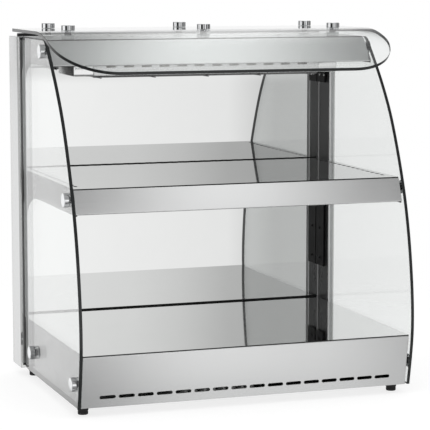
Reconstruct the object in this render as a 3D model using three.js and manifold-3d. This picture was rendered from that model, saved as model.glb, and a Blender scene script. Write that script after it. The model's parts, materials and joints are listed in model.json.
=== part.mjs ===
// A two-tier heated food counter for the top of a serving bench, modelled in millimetres.
// +Z is up, the customer stands at -Y and the operator at +Y. The origin lies on the bench,
// under the middle of the counter's outline.
import * as THREE from "three";
import { mergeVertices } from "three/addons/utils/BufferGeometryUtils.js";
import Module from "manifold-3d";

const wasm = await Module();
wasm.setup();

// Gaps and overruns shared by all pieces
const SEAT_GAP = 0.3; // between two pieces that rest on each other
const CUT_OVERRUN = 2; // how far a cutting body passes the face that it cuts
const SHEET_T = 1.5; // stainless sheet of pans, decks and fascias
const FLANGE = 12; // returned edge of a fascia

// Overall sizes
const PLATE_HALF_W = 307.5; // outer faces of the side plates and brackets, from the middle
const TOP_DEPTH = 225.5; // top of the side glass's front edge, ahead of the mirror
const GLASS_LEAN = 222.8; // how far the belly of the front edge lies ahead of its top
const FOOT_H = 16.7;
const BASE_H = 95; // from the base pan up to the lower deck's upper face
const LOWER_TIER_H = 284; // from the lower deck up to the shelf deck
const UPPER_TIER_H = 251; // from the shelf deck up to the top cover

// Side glass: a flat pane with a curved front edge on each side of the counter
const GLASS_T = 6;
const GLASS_SPACER_T = 1.5; // between a side plate and the pane
const GLASS_FOOT_GAP = 1; // lower edge of the pane above the base pan's underside
const GLASS_TOP_DROP = 0.5; // top edge of the pane below the top cover
const GLASS_POST_GAP = 10; // rear edge of the pane, ahead of the post
const GLASS_CORNER_R = 9;
// Stations of the front edge: share of the pane's height, share of the lean
const FRONT_EDGE_SHARES = [
  [0, 0.073],
  [0.172, 0],
  [0.363, 0.051],
  [0.554, 0.19],
  [0.745, 0.428],
  [0.872, 0.671],
  [1, 1],
];

// Rear posts
const POST_PLATE_GAP = 3.3; // between a side plate and the post
const POST_W = 12.2;
const POST_DEPTH = 62.7;
const POST_BEHIND_MIRROR = 11.3; // rear face of the post, behind the mirror's front face
const POST_WALL = 1.5;
const POST_EDGE_R = 1.2;
const POST_PAD_R = 7; // spacer pads between a post and the side plates
const POST_PAD_SETBACKS = [16.5, 38]; // pad centres, ahead of the mirror

// Base
const FOOT_TOP_R = 10.6;
const FOOT_BOTTOM_R = 9;
const FOOT_SIDE_INSET = 12.5; // foot axis inside the side plate
const FOOT_FRONT_INSET = 33.8; // front foot axis behind the apron
const FOOT_REAR_SETBACK = 44; // rear foot axis ahead of the mirror
const FASCIA_END_GAP = 0.2; // a fascia ends this far inside the side plates
const FASCIA_SETBACK = 4.5; // front of a fascia behind the edge of the side glass
const BASE_SIDE_T = 1.5;
const BASE_BEHIND_MIRROR = 10; // rear edge of the base, behind the mirror's front face
const REAR_PANEL_INSET = 22; // rear panel ahead of the rear edge of the base
const APRON_SLOT_PITCH = 34.3;
const APRON_SLOT_W = 29;
const APRON_SLOT_H = 5.6;
const APRON_SLOT_RISE = 19.2; // slot centres above the base pan's underside
const APRON_SLOT_MARGIN = 30; // least plain length at each end of the row
const PAN_SLOT_PITCH = 46;
const PAN_SLOT_W = 8;
const PAN_SLOT_L = 70;
const PAN_SLOT_MARGIN = 100;

// Shelf box
const SHELF_H = 44; // height of the shelf box
const DECK_REAR_GAP = 1.5; // between the rear edge of a deck and the mirror
const BRACKET_T = 3;
const BRACKET_BELOW_FASCIA = 2; // lower edge of a bracket under the fascia's lower edge
const BRACKET_REAR_GAP = 11.5; // rear edge of a box beside the flap's rail, ahead of the mirror
const BRACKET_TAIL = 40; // how far the tail reaches ahead of the mirror
const SHELF_FILLET_DEPTH = 94;
const SHELF_FILLET_DROP = 54;
const TOP_FILLET_DEPTH = 72;
const TOP_FILLET_DROP = 46;
const SHELF_TAIL_FOOT = 117; // straight front edge of the tail under the fillet
const TOP_TAIL_FOOT = 4;
const DECK_SLOT_INSET = 14.5; // side rows of slots, inside the side plates
const DECK_SLOT_PITCH = 22.5;
const DECK_SLOT_L = 14;
const DECK_SLOT_W = 4;
const DECK_SIDE_FIRST = 34; // first slot of a side row, ahead of the mirror
const DECK_SIDE_LAST = 30; // least plain deck between a side row and the front edge
const DECK_REAR_SETBACK = 13;
const DECK_REAR_MARGIN = 26;

// Top box
const TOP_H = 46; // height of the top box
const COVER_REAR_GAP = 11.5; // rear edge of the cover, ahead of the mirror

// Heat lamp housing under the top box
const HOUSING_INSET = 6.5; // front face behind the front edge of the top cover
const HOUSING_SIDE_GAP = 50.7; // between a side plate's outer face and the end cap
const HOUSING_DEPTH = 110;
const HOUSING_H = 22.5;
const HOUSING_WALL = 1.2;
const END_CAP_L = 37.3;
const END_CAP_R = 4;
const TROUGH_SLOT_PITCH = 34;
const TROUGH_SLOT_W = 19;
const TROUGH_SLOT_H = 3.6;
const TROUGH_SLOT_DROP = 5.5; // slot centres below the top of the trough
const TROUGH_SLOT_MARGIN = 15;
const LAMP_R = 5;
const LAMP_SOCKET_R = 6.5;
const LAMP_SOCKET_L = 14;
const LAMP_DROP = 12.5; // lamp axis below the top of the trough
const LAMP_SETBACK_SHARES = [0.3, 0.7]; // lamp axes, as shares of the housing's depth
const GUARD_R = 1.5;
const WIRE_SIDES = 6;
const GUARD_BARS = 5;
const GUARD_END = 13.2; // outer cross wires inside the ends of the trough
const GUARD_EDGE = 8; // outer long wires inside the trough's front and rear faces

// Tubular heating elements under the decks
const ELEMENT_R = 4;
const ELEMENT_SIDES = 8;
const ELEMENT_RUNS = 4;
const ELEMENT_PITCH = 64;
const ELEMENT_SIDE_GAP = 92.5; // ends of the straight runs inside the side plates
const ELEMENT_SETBACK = 90; // rearmost run, ahead of the mirror
const BEND_STEPS = 6;

// Mirrored rear flap
const MIRROR_T = 5;
const MIRROR_SIDE_GAP = 2.5; // between the pane and a post
const MIRROR_FOOT_GAP = 2; // between the pane's lower edge and the lower deck
const RAIL_H = 22;
const RAIL_T = 12;
const RAIL_DROP = 6; // pivot axis of the flap below the top cover
const RAIL_GROOVE_DEPTH = 8;
const PIN_R = 3;
const PIN_CLEARANCE = 0.3;
const PIN_REACH = 7; // pin length past the post's inner face
const HANDLE_HALF_W = 100;
const HANDLE_RISE = 16; // lip above the lower deck
const HANDLE_H = 18;
const HANDLE_T = 1.5;
const HANDLE_LIP = 5.6;

// Bent glass visor
const VISOR_OVERHANG = 9.6; // past the outer face of the side glass
const VISOR_T = 6;
const VISOR_LIFT = 9; // between the top cover and the visor
const VISOR_REAR_SETBACK = 23; // rear edge, ahead of the mirror
const VISOR_BEND_GAP = 1; // between the front knobs and the start of the bend
const VISOR_BEND_R = 260;
const VISOR_BEND_ANGLE = (26 * Math.PI) / 180;
const VISOR_TAIL = 89; // straight part past the bend
const VISOR_CORNER_R = 106;

// Standoff bolts of the glass
const KNOB_R = 12.5;
const KNOB_H = 9.6;
const KNOB_CHAMFER = 1;
const NECK_R = 5;
const GLASS_HOLE_R = 6;
const STUD_R = 3;
const STUD_HOLE_R = 3.6;
const STUD_END = 8;
const FLAT_HEAD_H = 2.2; // heads of the right pane's bolts
const KNOB_EDGE = 20; // side knobs behind the front edge of the glass
const BASE_KNOB_INSET = 62.6; // rear knob of the base ahead of the pane's rear edge
const BASE_KNOB_SHARE = 0.45; // height of the base's knobs as a share of the base
const BAND_KNOB_SHARE = 0.56; // knob height as a share of its fascia band
const SPACER_R = 11.5;
const VISOR_KNOB_SIDE = 64.6; // outer knobs inside the sides of the visor
const VISOR_KNOB_FRONT = 34.5; // front knobs behind the front edge of the top cover
const VISOR_KNOB_REAR = 41.6; // rear knobs ahead of the mirror

// Controls on the rear panel, at places measured from the left side plate's outer face
const DIAL_INSETS = [72.5, 192.5];
const DIAL_R = 16;
const DIAL_SKIRT = 4;
const DIAL_GRIP_R = 11.5;
const DIAL_H = 17;
const DIAL_GAP = 0.8;
const DIAL_RIDGE_W = 5;
const DIAL_RIDGE_H = 1.6;
const SHAFT_R = 3;
const SHAFT_CLEARANCE = 0.3;
const SHAFT_L = 11;
const THERMOSTAT_W = 42;
const THERMOSTAT_H = 34;
const THERMOSTAT_D = 24;
const SWITCH_INSETS = [132.5, 252.5];
const SWITCH_W = 22;
const SWITCH_H = 30;
const SWITCH_D = 20;
const SWITCH_RIM = 3;
const SWITCH_RIM_T = 1.6;
const ROCKER_CLEARANCE = 0.6;
const ROCKER_R = 13; // swing radius of the rocker's ends
const ROCKER_TILT = (8 * Math.PI) / 180;
const ROCKER_WALL = 2.6;
const GLAND_INSET = 72.5; // gland axis inside the right side plate's outer face
const GLAND_R = 9;
const GLAND_BORE_R = 4.2;
const GLAND_L = 15;
const GLAND_NUT_R = 12;
const GLAND_NUT_T = 5;
const REAR_SLOT_PITCH = 20;
const REAR_SLOT_W = 5;
const REAR_SLOT_H = 42;
const REAR_SLOT_START = 75; // first slot past the last switch
const REAR_SLOT_END = 57; // least distance from the last slot to the gland's axis

// Facets
const ROUND_STEPS = 16;
const HOLE_STEPS = 10;
const CORNER_STEPS = 4;
const SLOT_END_STEPS = 2;
const EDGE_STEPS = 26;
const FILLET_STEPS = 12;
const VISOR_CORNER_STEPS = 12;

// Places that follow from the sizes above
const BASE_Z = FOOT_H + SEAT_GAP;
const LOWER_DECK_Z = BASE_Z + BASE_H;
const SHELF_DECK_Z = LOWER_DECK_Z + LOWER_TIER_H;
const SHELF_BOTTOM_Z = SHELF_DECK_Z - SHELF_H;
const COVER_Z = SHELF_DECK_Z + UPPER_TIER_H;
const TOP_BOTTOM_Z = COVER_Z - TOP_H;
const GLASS_BOTTOM_Z = BASE_Z + GLASS_FOOT_GAP;
const GLASS_TOP_Z = COVER_Z - GLASS_TOP_DROP;
const VISOR_TOP_Z = COVER_Z + VISOR_LIFT + VISOR_T;
const RAIL_Z = COVER_Z - RAIL_DROP;
const CONTROL_Z = BASE_Z + BASE_H / 2;
const APRON_SLOT_Z = BASE_Z + APRON_SLOT_RISE;
const BELLY_DEPTH = TOP_DEPTH + GLASS_LEAN;
const MIRROR_Y = (BELLY_DEPTH - POST_BEHIND_MIRROR) / 2; // front face of the mirror
const HINGE_Y = MIRROR_Y + MIRROR_T / 2;
const BASE_REAR_Y = MIRROR_Y + BASE_BEHIND_MIRROR;
const PANEL_Y = BASE_REAR_Y - REAR_PANEL_INSET; // outer face of the rear panel
const POST_REAR_Y = MIRROR_Y + POST_BEHIND_MIRROR;
const GLASS_REAR_Y = POST_REAR_Y - POST_DEPTH - GLASS_POST_GAP;
const FASCIA_HALF_W = PLATE_HALF_W - FASCIA_END_GAP;
const BAND_HALF_W = PLATE_HALF_W - BRACKET_T - SEAT_GAP; // between two brackets
const PAN_HALF_W = PLATE_HALF_W - BASE_SIDE_T - SEAT_GAP; // between the base sides
const GLASS_INNER_X = PLATE_HALF_W + GLASS_SPACER_T;
const POST_INNER_X = PLATE_HALF_W + POST_PLATE_GAP;
const MIRROR_HALF_W = POST_INNER_X - MIRROR_SIDE_GAP;
const VISOR_HALF_W = GLASS_INNER_X + GLASS_T + VISOR_OVERHANG;
const VISOR_KNOB_X = VISOR_HALF_W - VISOR_KNOB_SIDE;
const TROUGH_HALF_W = PLATE_HALF_W - HOUSING_SIDE_GAP - END_CAP_L - SEAT_GAP;
const GLAND_X = PLATE_HALF_W - GLAND_INSET;
const DECK_UNDER = SHEET_T + SEAT_GAP; // deck thickness and the gap below it
const TROUGH_TOP_Z = TOP_BOTTOM_Z + SHEET_T;
const TROUGH_BOTTOM_Z = TROUGH_TOP_Z - HOUSING_H;

// Materials
function finish(color, metalness, roughness, opacity = 1) {
  return new THREE.MeshStandardMaterial({
    color,
    metalness,
    roughness,
    opacity,
    transparent: opacity < 1,
  });
}
const BRUSHED = finish(0xb9bcbd, 1, 0.35);
const POLISHED = finish(0xd6d8da, 1, 0.12);
const DARK_STEEL = finish(0x2b2d2f, 0.8, 0.4);
const BLACK = finish(0x151617, 0, 0.6);
const CHROME = finish(0xdddfe0, 1, 0.08);
const CLEAR = finish(0xe6f2ee, 0, 0.03, 0.25);
const MIRROR = finish(0xeef1f3, 1, 0.03);
const ELEMENT = finish(0x4b4a48, 0.7, 0.5);
const QUARTZ = finish(0xf3ece2, 0, 0.1, 0.6);

// Solids and booleans
function solid(geometry) {
  const bare = geometry.clone();
  bare.deleteAttribute("normal");
  bare.deleteAttribute("uv");
  const merged = mergeVertices(bare);
  return new wasm.Manifold(
    new wasm.Mesh({
      numProp: 3,
      vertProperties: merged.attributes.position.array,
      triVerts: new Uint32Array(merged.index.array),
    }),
  );
}

function geometryOf(body) {
  const { vertProperties, triVerts } = body.getMesh();
  const geometry = new THREE.BufferGeometry();
  geometry.setAttribute("position", new THREE.BufferAttribute(vertProperties, 3));
  geometry.setIndex(new THREE.BufferAttribute(triVerts, 1));
  geometry.computeVertexNormals();
  return geometry;
}

function join(first, ...others) {
  return geometryOf(others.reduce((body, g) => body.add(solid(g)), solid(first)));
}

function cut(first, ...tools) {
  return geometryOf(tools.reduce((body, g) => body.subtract(solid(g)), solid(first)));
}

// Outlines
function polygon(points) {
  return new THREE.Shape(points.map(([u, v]) => new THREE.Vector2(u, v)));
}

function rectangle(u0, u1, v0, v1) {
  return polygon([[u0, v0], [u1, v0], [u1, v1], [u0, v1]]);
}

function roundedRectangle(u0, u1, v0, v1, r) {
  const shape = new THREE.Shape();
  shape.absarc(u1 - r, v0 + r, r, -Math.PI / 2, 0);
  shape.absarc(u1 - r, v1 - r, r, 0, Math.PI / 2);
  shape.absarc(u0 + r, v1 - r, r, Math.PI / 2, Math.PI);
  shape.absarc(u0 + r, v0 + r, r, Math.PI, (3 * Math.PI) / 2);
  return shape;
}

// A round hole, its facets drawn outside radius r so that a shaft of that radius passes
function hole(u, v, r) {
  const points = circle(u, v, r / Math.cos(Math.PI / HOLE_STEPS), HOLE_STEPS);
  return new THREE.Path(points.map(([a, b]) => new THREE.Vector2(a, b)));
}

function circle(u, v, r, steps) {
  const points = [];
  for (let i = 0; i < steps; i++) {
    const a = (2 * Math.PI * (i + 1 / 2)) / steps;
    points.push([u + r * Math.cos(a), v + r * Math.sin(a)]);
  }
  return points;
}

// A slot with round ends, wide along the outline's first axis unless upright
function slot(u, v, length, width, upright = false) {
  const r = width / 2;
  const reach = length / 2 - r;
  const points = [];
  for (const side of [1, -1])
    for (let i = 0; i <= SLOT_END_STEPS; i++) {
      const a = -Math.PI / 2 + (Math.PI * i) / SLOT_END_STEPS;
      const along = side * (reach + r * Math.cos(a));
      const across = side * r * Math.sin(a);
      points.push(new THREE.Vector2(
        u + (upright ? -across : along),
        v + (upright ? along : across),
      ));
    }
  return new THREE.Path(points);
}

// How many pieces of the given length fit in a room when they stand pitch apart
function fitting(room, length, pitch) {
  return Math.floor((room - length) / pitch) + 1;
}

// Offsets of count places, pitch apart, centred on zero
function row(count, pitch) {
  return Array.from({ length: count }, (_, i) => (i - (count - 1) / 2) * pitch);
}

// Prisms: an outline in the Y-Z, X-Z or X-Y plane, carried along the axis square to it
const X_AXIS = new THREE.Vector3(1, 0, 0);
const Y_AXIS = new THREE.Vector3(0, 1, 0);
const Z_AXIS = new THREE.Vector3(0, 0, 1);

function prism(shape, depth, steps = CORNER_STEPS) {
  return new THREE.ExtrudeGeometry(shape, {
    depth,
    bevelEnabled: false,
    curveSegments: steps,
  });
}

function alongX(shape, x0, x1, steps) {
  const axes = new THREE.Matrix4().makeBasis(Y_AXIS, Z_AXIS, X_AXIS);
  return prism(shape, x1 - x0, steps).applyMatrix4(axes).translate(x0, 0, 0);
}

function alongY(shape, y0, y1, steps) {
  const axes = new THREE.Matrix4().makeBasis(X_AXIS, Z_AXIS, Y_AXIS.clone().negate());
  return prism(shape, y1 - y0, steps).applyMatrix4(axes).translate(0, y1, 0);
}

function alongZ(shape, z0, z1, steps) {
  return prism(shape, z1 - z0, steps).translate(0, 0, z0);
}

// A turned piece: [radius, height] pairs, with its height along +Y
function turned(profile, steps = ROUND_STEPS) {
  return new THREE.LatheGeometry(
    profile.map(([r, h]) => new THREE.Vector2(r, h)),
    steps,
  );
}

// Front edge of the side glass as a curve in the Y-Z plane, and its Y at a height
const frontEdge = new THREE.SplineCurve(
  FRONT_EDGE_SHARES.map(([up, back]) => new THREE.Vector2(
    MIRROR_Y - BELLY_DEPTH + back * GLASS_LEAN,
    GLASS_BOTTOM_Z + up * (GLASS_TOP_Z - GLASS_BOTTOM_Z),
  )),
);
const frontEdgePoints = frontEdge.getPoints(EDGE_STEPS * CORNER_STEPS);

function frontY(z) {
  const next = frontEdgePoints.findIndex((p) => p.y > z);
  const i = next < 0 ? frontEdgePoints.length - 1 : Math.max(next, 1);
  const a = frontEdgePoints[i - 1];
  const b = frontEdgePoints[i];
  return a.x + ((b.x - a.x) * (z - a.y)) / (b.y - a.y);
}

function fasciaY(z) {
  return frontY(z) + FASCIA_SETBACK;
}

// Front edge of a plate of the given height that lies behind a fascia's straight skin
function behindSkin(z, bottom, top) {
  const slope = (fasciaY(top) - fasciaY(bottom)) / (top - bottom);
  const lean = Math.max(0, slope * SHEET_T);
  return fasciaY(bottom) + slope * (z - bottom) + lean + SHEET_T + SEAT_GAP;
}

const counter = new THREE.Group();

function place(name, geometry, material, parent = counter) {
  const mesh = new THREE.Mesh(geometry, material);
  mesh.name = name;
  parent.add(mesh);
  return mesh;
}

const SIDES = [["left", -1], ["right", 1]];

// Places of the standoffs on a side: [name, y, z]
function bandHeight(bottom, top) {
  return bottom + BAND_KNOB_SHARE * (top - bottom);
}
const shelfKnobZ = bandHeight(SHELF_BOTTOM_Z, SHELF_DECK_Z);
const topKnobZ = bandHeight(TOP_BOTTOM_Z, COVER_Z);
const baseKnobZ = BASE_Z + BASE_KNOB_SHARE * BASE_H;
const baseKnobs = [
  ["base_rear", GLASS_REAR_Y - BASE_KNOB_INSET, baseKnobZ],
  ["base_front", frontY(baseKnobZ) + KNOB_EDGE, baseKnobZ],
];
const shelfKnobs = [["shelf", frontY(shelfKnobZ) + KNOB_EDGE, shelfKnobZ]];
const topKnobs = [["top", frontY(topKnobZ) + KNOB_EDGE, topKnobZ]];
const sideKnobs = [...baseKnobs, ...shelfKnobs, ...topKnobs];

// Feet
function foot() {
  return turned([[0, 0], [FOOT_BOTTOM_R, 0], [FOOT_TOP_R, FOOT_H], [0, FOOT_H]])
    .rotateX(Math.PI / 2);
}
for (const [side, sign] of SIDES)
  for (const [end, y] of [
    ["rear", MIRROR_Y - FOOT_REAR_SETBACK],
    ["front", fasciaY(BASE_Z) + FOOT_FRONT_INSET],
  ])
    place(`foot_${end}_${side}`, foot(), BLACK)
      .position.set(sign * (PLATE_HALF_W - FOOT_SIDE_INSET), y, 0);

// Base: pan, sides, front apron, rear panel and lower deck
function basePan() {
  const front = behindSkin(BASE_Z, BASE_Z, LOWER_DECK_Z - DECK_UNDER);
  const shape = rectangle(-PAN_HALF_W, PAN_HALF_W, front, BASE_REAR_Y);
  const room = 2 * (PAN_HALF_W - PAN_SLOT_MARGIN);
  for (const x of row(fitting(room, PAN_SLOT_W, PAN_SLOT_PITCH), PAN_SLOT_PITCH))
    shape.holes.push(slot(x, (front + BASE_REAR_Y) / 2, PAN_SLOT_L, PAN_SLOT_W, true));
  return alongZ(shape, BASE_Z, BASE_Z + SHEET_T);
}
place("base_pan", basePan(), BRUSHED);

function baseSide(sign) {
  const top = LOWER_DECK_Z - DECK_UNDER;
  const back = SHEET_T + SEAT_GAP;
  const shape = polygon([
    [fasciaY(BASE_Z) + back, BASE_Z],
    [BASE_REAR_Y, BASE_Z],
    [BASE_REAR_Y, top],
    [fasciaY(top) + back, top],
  ]);
  for (const [, y, z] of baseKnobs) shape.holes.push(hole(y, z, STUD_HOLE_R));
  const inner = PLATE_HALF_W - BASE_SIDE_T;
  return sign > 0
    ? alongX(shape, inner, PLATE_HALF_W)
    : alongX(shape, -PLATE_HALF_W, -inner);
}
for (const [side, sign] of SIDES)
  place(`base_side_${side}`, baseSide(sign), DARK_STEEL);

// A leaning fascia: a skin that follows the glass edge, with flanges turned back
function fasciaSkin(bottom, top) {
  return polygon([
    [fasciaY(bottom), bottom],
    [fasciaY(bottom) + SHEET_T, bottom],
    [fasciaY(top) + SHEET_T, top],
    [fasciaY(top), top],
  ]);
}

function fasciaFlange(z0, z1, halfW) {
  const y = fasciaY((z0 + z1) / 2) + SHEET_T / 2;
  return alongX(rectangle(y, y + FLANGE, z0, z1), -halfW, halfW);
}

function fascia(bottom, top, flangeBottom, flangeHalfW) {
  return join(
    alongX(fasciaSkin(bottom, top), -FASCIA_HALF_W, FASCIA_HALF_W),
    fasciaFlange(flangeBottom, flangeBottom + SHEET_T, flangeHalfW),
    fasciaFlange(top - SHEET_T, top, flangeHalfW),
  );
}

function apron() {
  const top = LOWER_DECK_Z - DECK_UNDER;
  const lower = BASE_Z + SHEET_T + SEAT_GAP;
  const y = fasciaY(APRON_SLOT_Z);
  const room = 2 * (PLATE_HALF_W - APRON_SLOT_MARGIN);
  const count = fitting(room, APRON_SLOT_W, APRON_SLOT_PITCH);
  const tools = row(count, APRON_SLOT_PITCH).map((x) => alongY(
    new THREE.Shape(slot(x, APRON_SLOT_Z, APRON_SLOT_W, APRON_SLOT_H).getPoints()),
    y - CUT_OVERRUN,
    y + SHEET_T + CUT_OVERRUN,
  ));
  return cut(fascia(BASE_Z, top, lower, PAN_HALF_W), ...tools);
}
place("front_apron", apron(), BRUSHED);

function deck(top, rear) {
  return rectangle(-FASCIA_HALF_W, FASCIA_HALF_W, fasciaY(top), rear);
}
place(
  "lower_deck",
  alongZ(deck(LOWER_DECK_Z, BASE_REAR_Y), LOWER_DECK_Z - SHEET_T, LOWER_DECK_Z),
  POLISHED,
);

const [dialXs, switchXs] = [DIAL_INSETS, SWITCH_INSETS].map((insets) =>
  insets.map((inset) => inset - PLATE_HALF_W));

function rearPanel() {
  const bottom = BASE_Z + SHEET_T + SEAT_GAP;
  const top = LOWER_DECK_Z - DECK_UNDER;
  const shape = rectangle(-PAN_HALF_W, PAN_HALF_W, bottom, top);
  for (const x of dialXs) shape.holes.push(hole(x, CONTROL_Z, SHAFT_R + SHAFT_CLEARANCE));
  shape.holes.push(hole(GLAND_X, CONTROL_Z, GLAND_R + SEAT_GAP));
  const first = Math.max(...switchXs) + REAR_SLOT_START;
  for (let x = first; x <= GLAND_X - REAR_SLOT_END; x += REAR_SLOT_PITCH)
    shape.holes.push(slot(x, CONTROL_Z, REAR_SLOT_H, REAR_SLOT_W, true));
  const reach = SWITCH_W / 2 + SEAT_GAP;
  const rise = SWITCH_H / 2 + SEAT_GAP;
  const cutouts = switchXs.map((x) => alongY(
    rectangle(x - reach, x + reach, CONTROL_Z - rise, CONTROL_Z + rise),
    PANEL_Y - SHEET_T - CUT_OVERRUN,
    PANEL_Y + CUT_OVERRUN,
  ));
  return cut(alongY(shape, PANEL_Y - SHEET_T, PANEL_Y), ...cutouts);
}
place("rear_panel", rearPanel(), BRUSHED);

// Thermostats, dials, switches and gland on the rear panel
function thermostat() {
  const face = -SHEET_T - SEAT_GAP;
  const r = THERMOSTAT_W / 2;
  const h = THERMOSTAT_H / 2;
  return join(
    alongY(roundedRectangle(-r, r, -h, h, SHAFT_R), face - THERMOSTAT_D, face),
    turned([[0, face - SHEET_T], [SHAFT_R, face - SHEET_T], [SHAFT_R, SHAFT_L], [0, SHAFT_L]]),
  );
}

function dial() {
  const top = DIAL_GAP + DIAL_H;
  const knob = turned([
    [0, DIAL_GAP],
    [DIAL_R, DIAL_GAP],
    [DIAL_R, DIAL_GAP + DIAL_SKIRT],
    [DIAL_GRIP_R, DIAL_GAP + DIAL_SKIRT],
    [DIAL_GRIP_R, top],
    [0, top],
  ]);
  const half = DIAL_RIDGE_W / 2;
  const ridge = alongY(
    rectangle(-half, half, -DIAL_GRIP_R / 2, DIAL_R - SEAT_GAP),
    DIAL_GAP + DIAL_SKIRT / 2,
    top + DIAL_RIDGE_H,
  );
  const bore = turned([
    [0, DIAL_GAP - CUT_OVERRUN],
    [SHAFT_R + SHAFT_CLEARANCE, DIAL_GAP - CUT_OVERRUN],
    [SHAFT_R + SHAFT_CLEARANCE, SHAFT_L + SEAT_GAP],
    [0, SHAFT_L + SEAT_GAP],
  ]);
  return cut(join(knob, ridge), bore);
}
for (const [i, [side]] of SIDES.entries()) {
  const station = new THREE.Group();
  station.position.set(dialXs[i], PANEL_Y, CONTROL_Z);
  counter.add(station);
  place(`thermostat_${side}`, thermostat(), BLACK, station);
  place(`thermostat_dial_${side}`, dial(), BLACK, station);
}

// The switch axis runs along X through the panel's outer face
function switchHousing() {
  const w = SWITCH_W / 2;
  const h = SWITCH_H / 2;
  const rim = SWITCH_RIM + SEAT_GAP;
  const inW = w - SWITCH_RIM + ROCKER_CLEARANCE;
  const inH = ROCKER_R + ROCKER_CLEARANCE;
  return cut(
    join(
      alongY(rectangle(-w, w, -h, h), -SWITCH_D, SEAT_GAP + SWITCH_RIM_T / 2),
      alongY(
        roundedRectangle(-w - rim, w + rim, -h - rim, h + rim, SWITCH_RIM / 2),
        SEAT_GAP,
        SEAT_GAP + SWITCH_RIM_T,
      ),
    ),
    alongY(
      rectangle(-inW, inW, -inH, inH),
      -SWITCH_D + SWITCH_RIM,
      SWITCH_RIM_T + CUT_OVERRUN,
    ),
  );
}

// The rocker's two faces meet over its pivot, and it rests tilted to one side
function rocker() {
  const w = SWITCH_W / 2 - SWITCH_RIM;
  const end = ROCKER_R * Math.cos(ROCKER_TILT);
  const lift = ROCKER_R * Math.sin(ROCKER_TILT);
  const shape = polygon([
    [-ROCKER_WALL, -end],
    [lift + SWITCH_RIM_T, -end],
    [SWITCH_RIM_T, 0],
    [lift + SWITCH_RIM_T, end],
    [-ROCKER_WALL, end],
    [-ROCKER_R / 2, 0],
  ]);
  return alongX(shape, -w, w).rotateX(ROCKER_TILT);
}
for (const [i, [side]] of SIDES.entries()) {
  const station = new THREE.Group();
  station.position.set(switchXs[i], PANEL_Y, CONTROL_Z);
  counter.add(station);
  place(`switch_housing_${side}`, switchHousing(), BLACK, station);
  place(`switch_rocker_${side}`, rocker(), BLACK, station);
}

function cableGland() {
  const inner = -SHEET_T - SEAT_GAP;
  return turned([
    [GLAND_BORE_R, inner - GLAND_NUT_T],
    [GLAND_NUT_R, inner - GLAND_NUT_T],
    [GLAND_NUT_R, inner],
    [GLAND_R, inner],
    [GLAND_R, SEAT_GAP],
    [GLAND_NUT_R, SEAT_GAP],
    [GLAND_NUT_R, GLAND_NUT_T],
    [GLAND_R, GLAND_NUT_T],
    [GLAND_BORE_R + SHEET_T, GLAND_L],
    [GLAND_BORE_R, GLAND_L],
    [GLAND_BORE_R, inner - GLAND_NUT_T],
  ]);
}
place("cable_gland", cableGland(), BLACK).position.set(GLAND_X, PANEL_Y, CONTROL_Z);

// Heating elements: a tube folded back and forth under a deck.
// Each straight run takes one step of the sweep and each bend takes BEND_STEPS.
class Serpentine extends THREE.Curve {
  constructor(runs, halfLength, pitch) {
    super();
    this.runs = runs;
    this.halfLength = halfLength;
    this.pitch = pitch;
    this.steps = runs + (runs - 1) * BEND_STEPS;
  }
  getPoint(t, target = new THREE.Vector3()) {
    const along = t * this.steps;
    const run = Math.min(Math.floor(along / (1 + BEND_STEPS)), this.runs - 1);
    const part = along - run * (1 + BEND_STEPS);
    const sign = run % 2 ? -1 : 1;
    const y = -run * this.pitch;
    if (part <= 1)
      return target.set(sign * this.halfLength * (2 * part - 1), y, 0);
    const a = (Math.PI * (part - 1)) / BEND_STEPS;
    const r = this.pitch / 2;
    return target.set(
      sign * (this.halfLength + r * Math.sin(a)),
      y - r * (1 - Math.cos(a)),
      0,
    );
  }
  getPointAt(u, target) {
    return this.getPoint(u, target);
  }
  getTangentAt(u, target) {
    return this.getTangent(u, target);
  }
}

function element() {
  const path = new Serpentine(ELEMENT_RUNS, PLATE_HALF_W - ELEMENT_SIDE_GAP, ELEMENT_PITCH);
  const section = [];
  for (let i = 0; i < ELEMENT_SIDES; i++) {
    const a = (2 * Math.PI * (i + 1 / 2)) / ELEMENT_SIDES;
    section.push([ELEMENT_R * Math.cos(a), ELEMENT_R * Math.sin(a)]);
  }
  return new THREE.ExtrudeGeometry(polygon(section), {
    steps: path.steps,
    extrudePath: path,
    bevelEnabled: false,
  });
}
for (const [name, top] of [["base_heater", LOWER_DECK_Z], ["shelf_heater", SHELF_DECK_Z]])
  place(name, element(), ELEMENT).position.set(
    0,
    MIRROR_Y - ELEMENT_SETBACK,
    top - DECK_UNDER - ELEMENT_R,
  );

// Rear posts: a flat tube, closed at the top, with spacer pads and the flap's pivot hole
const padHeights = [
  CONTROL_Z,
  (SHELF_BOTTOM_Z + SHELF_DECK_Z) / 2,
  (TOP_BOTTOM_Z + COVER_Z) / 2,
];
const padLength = POST_INNER_X - PLATE_HALF_W - SEAT_GAP;

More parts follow.
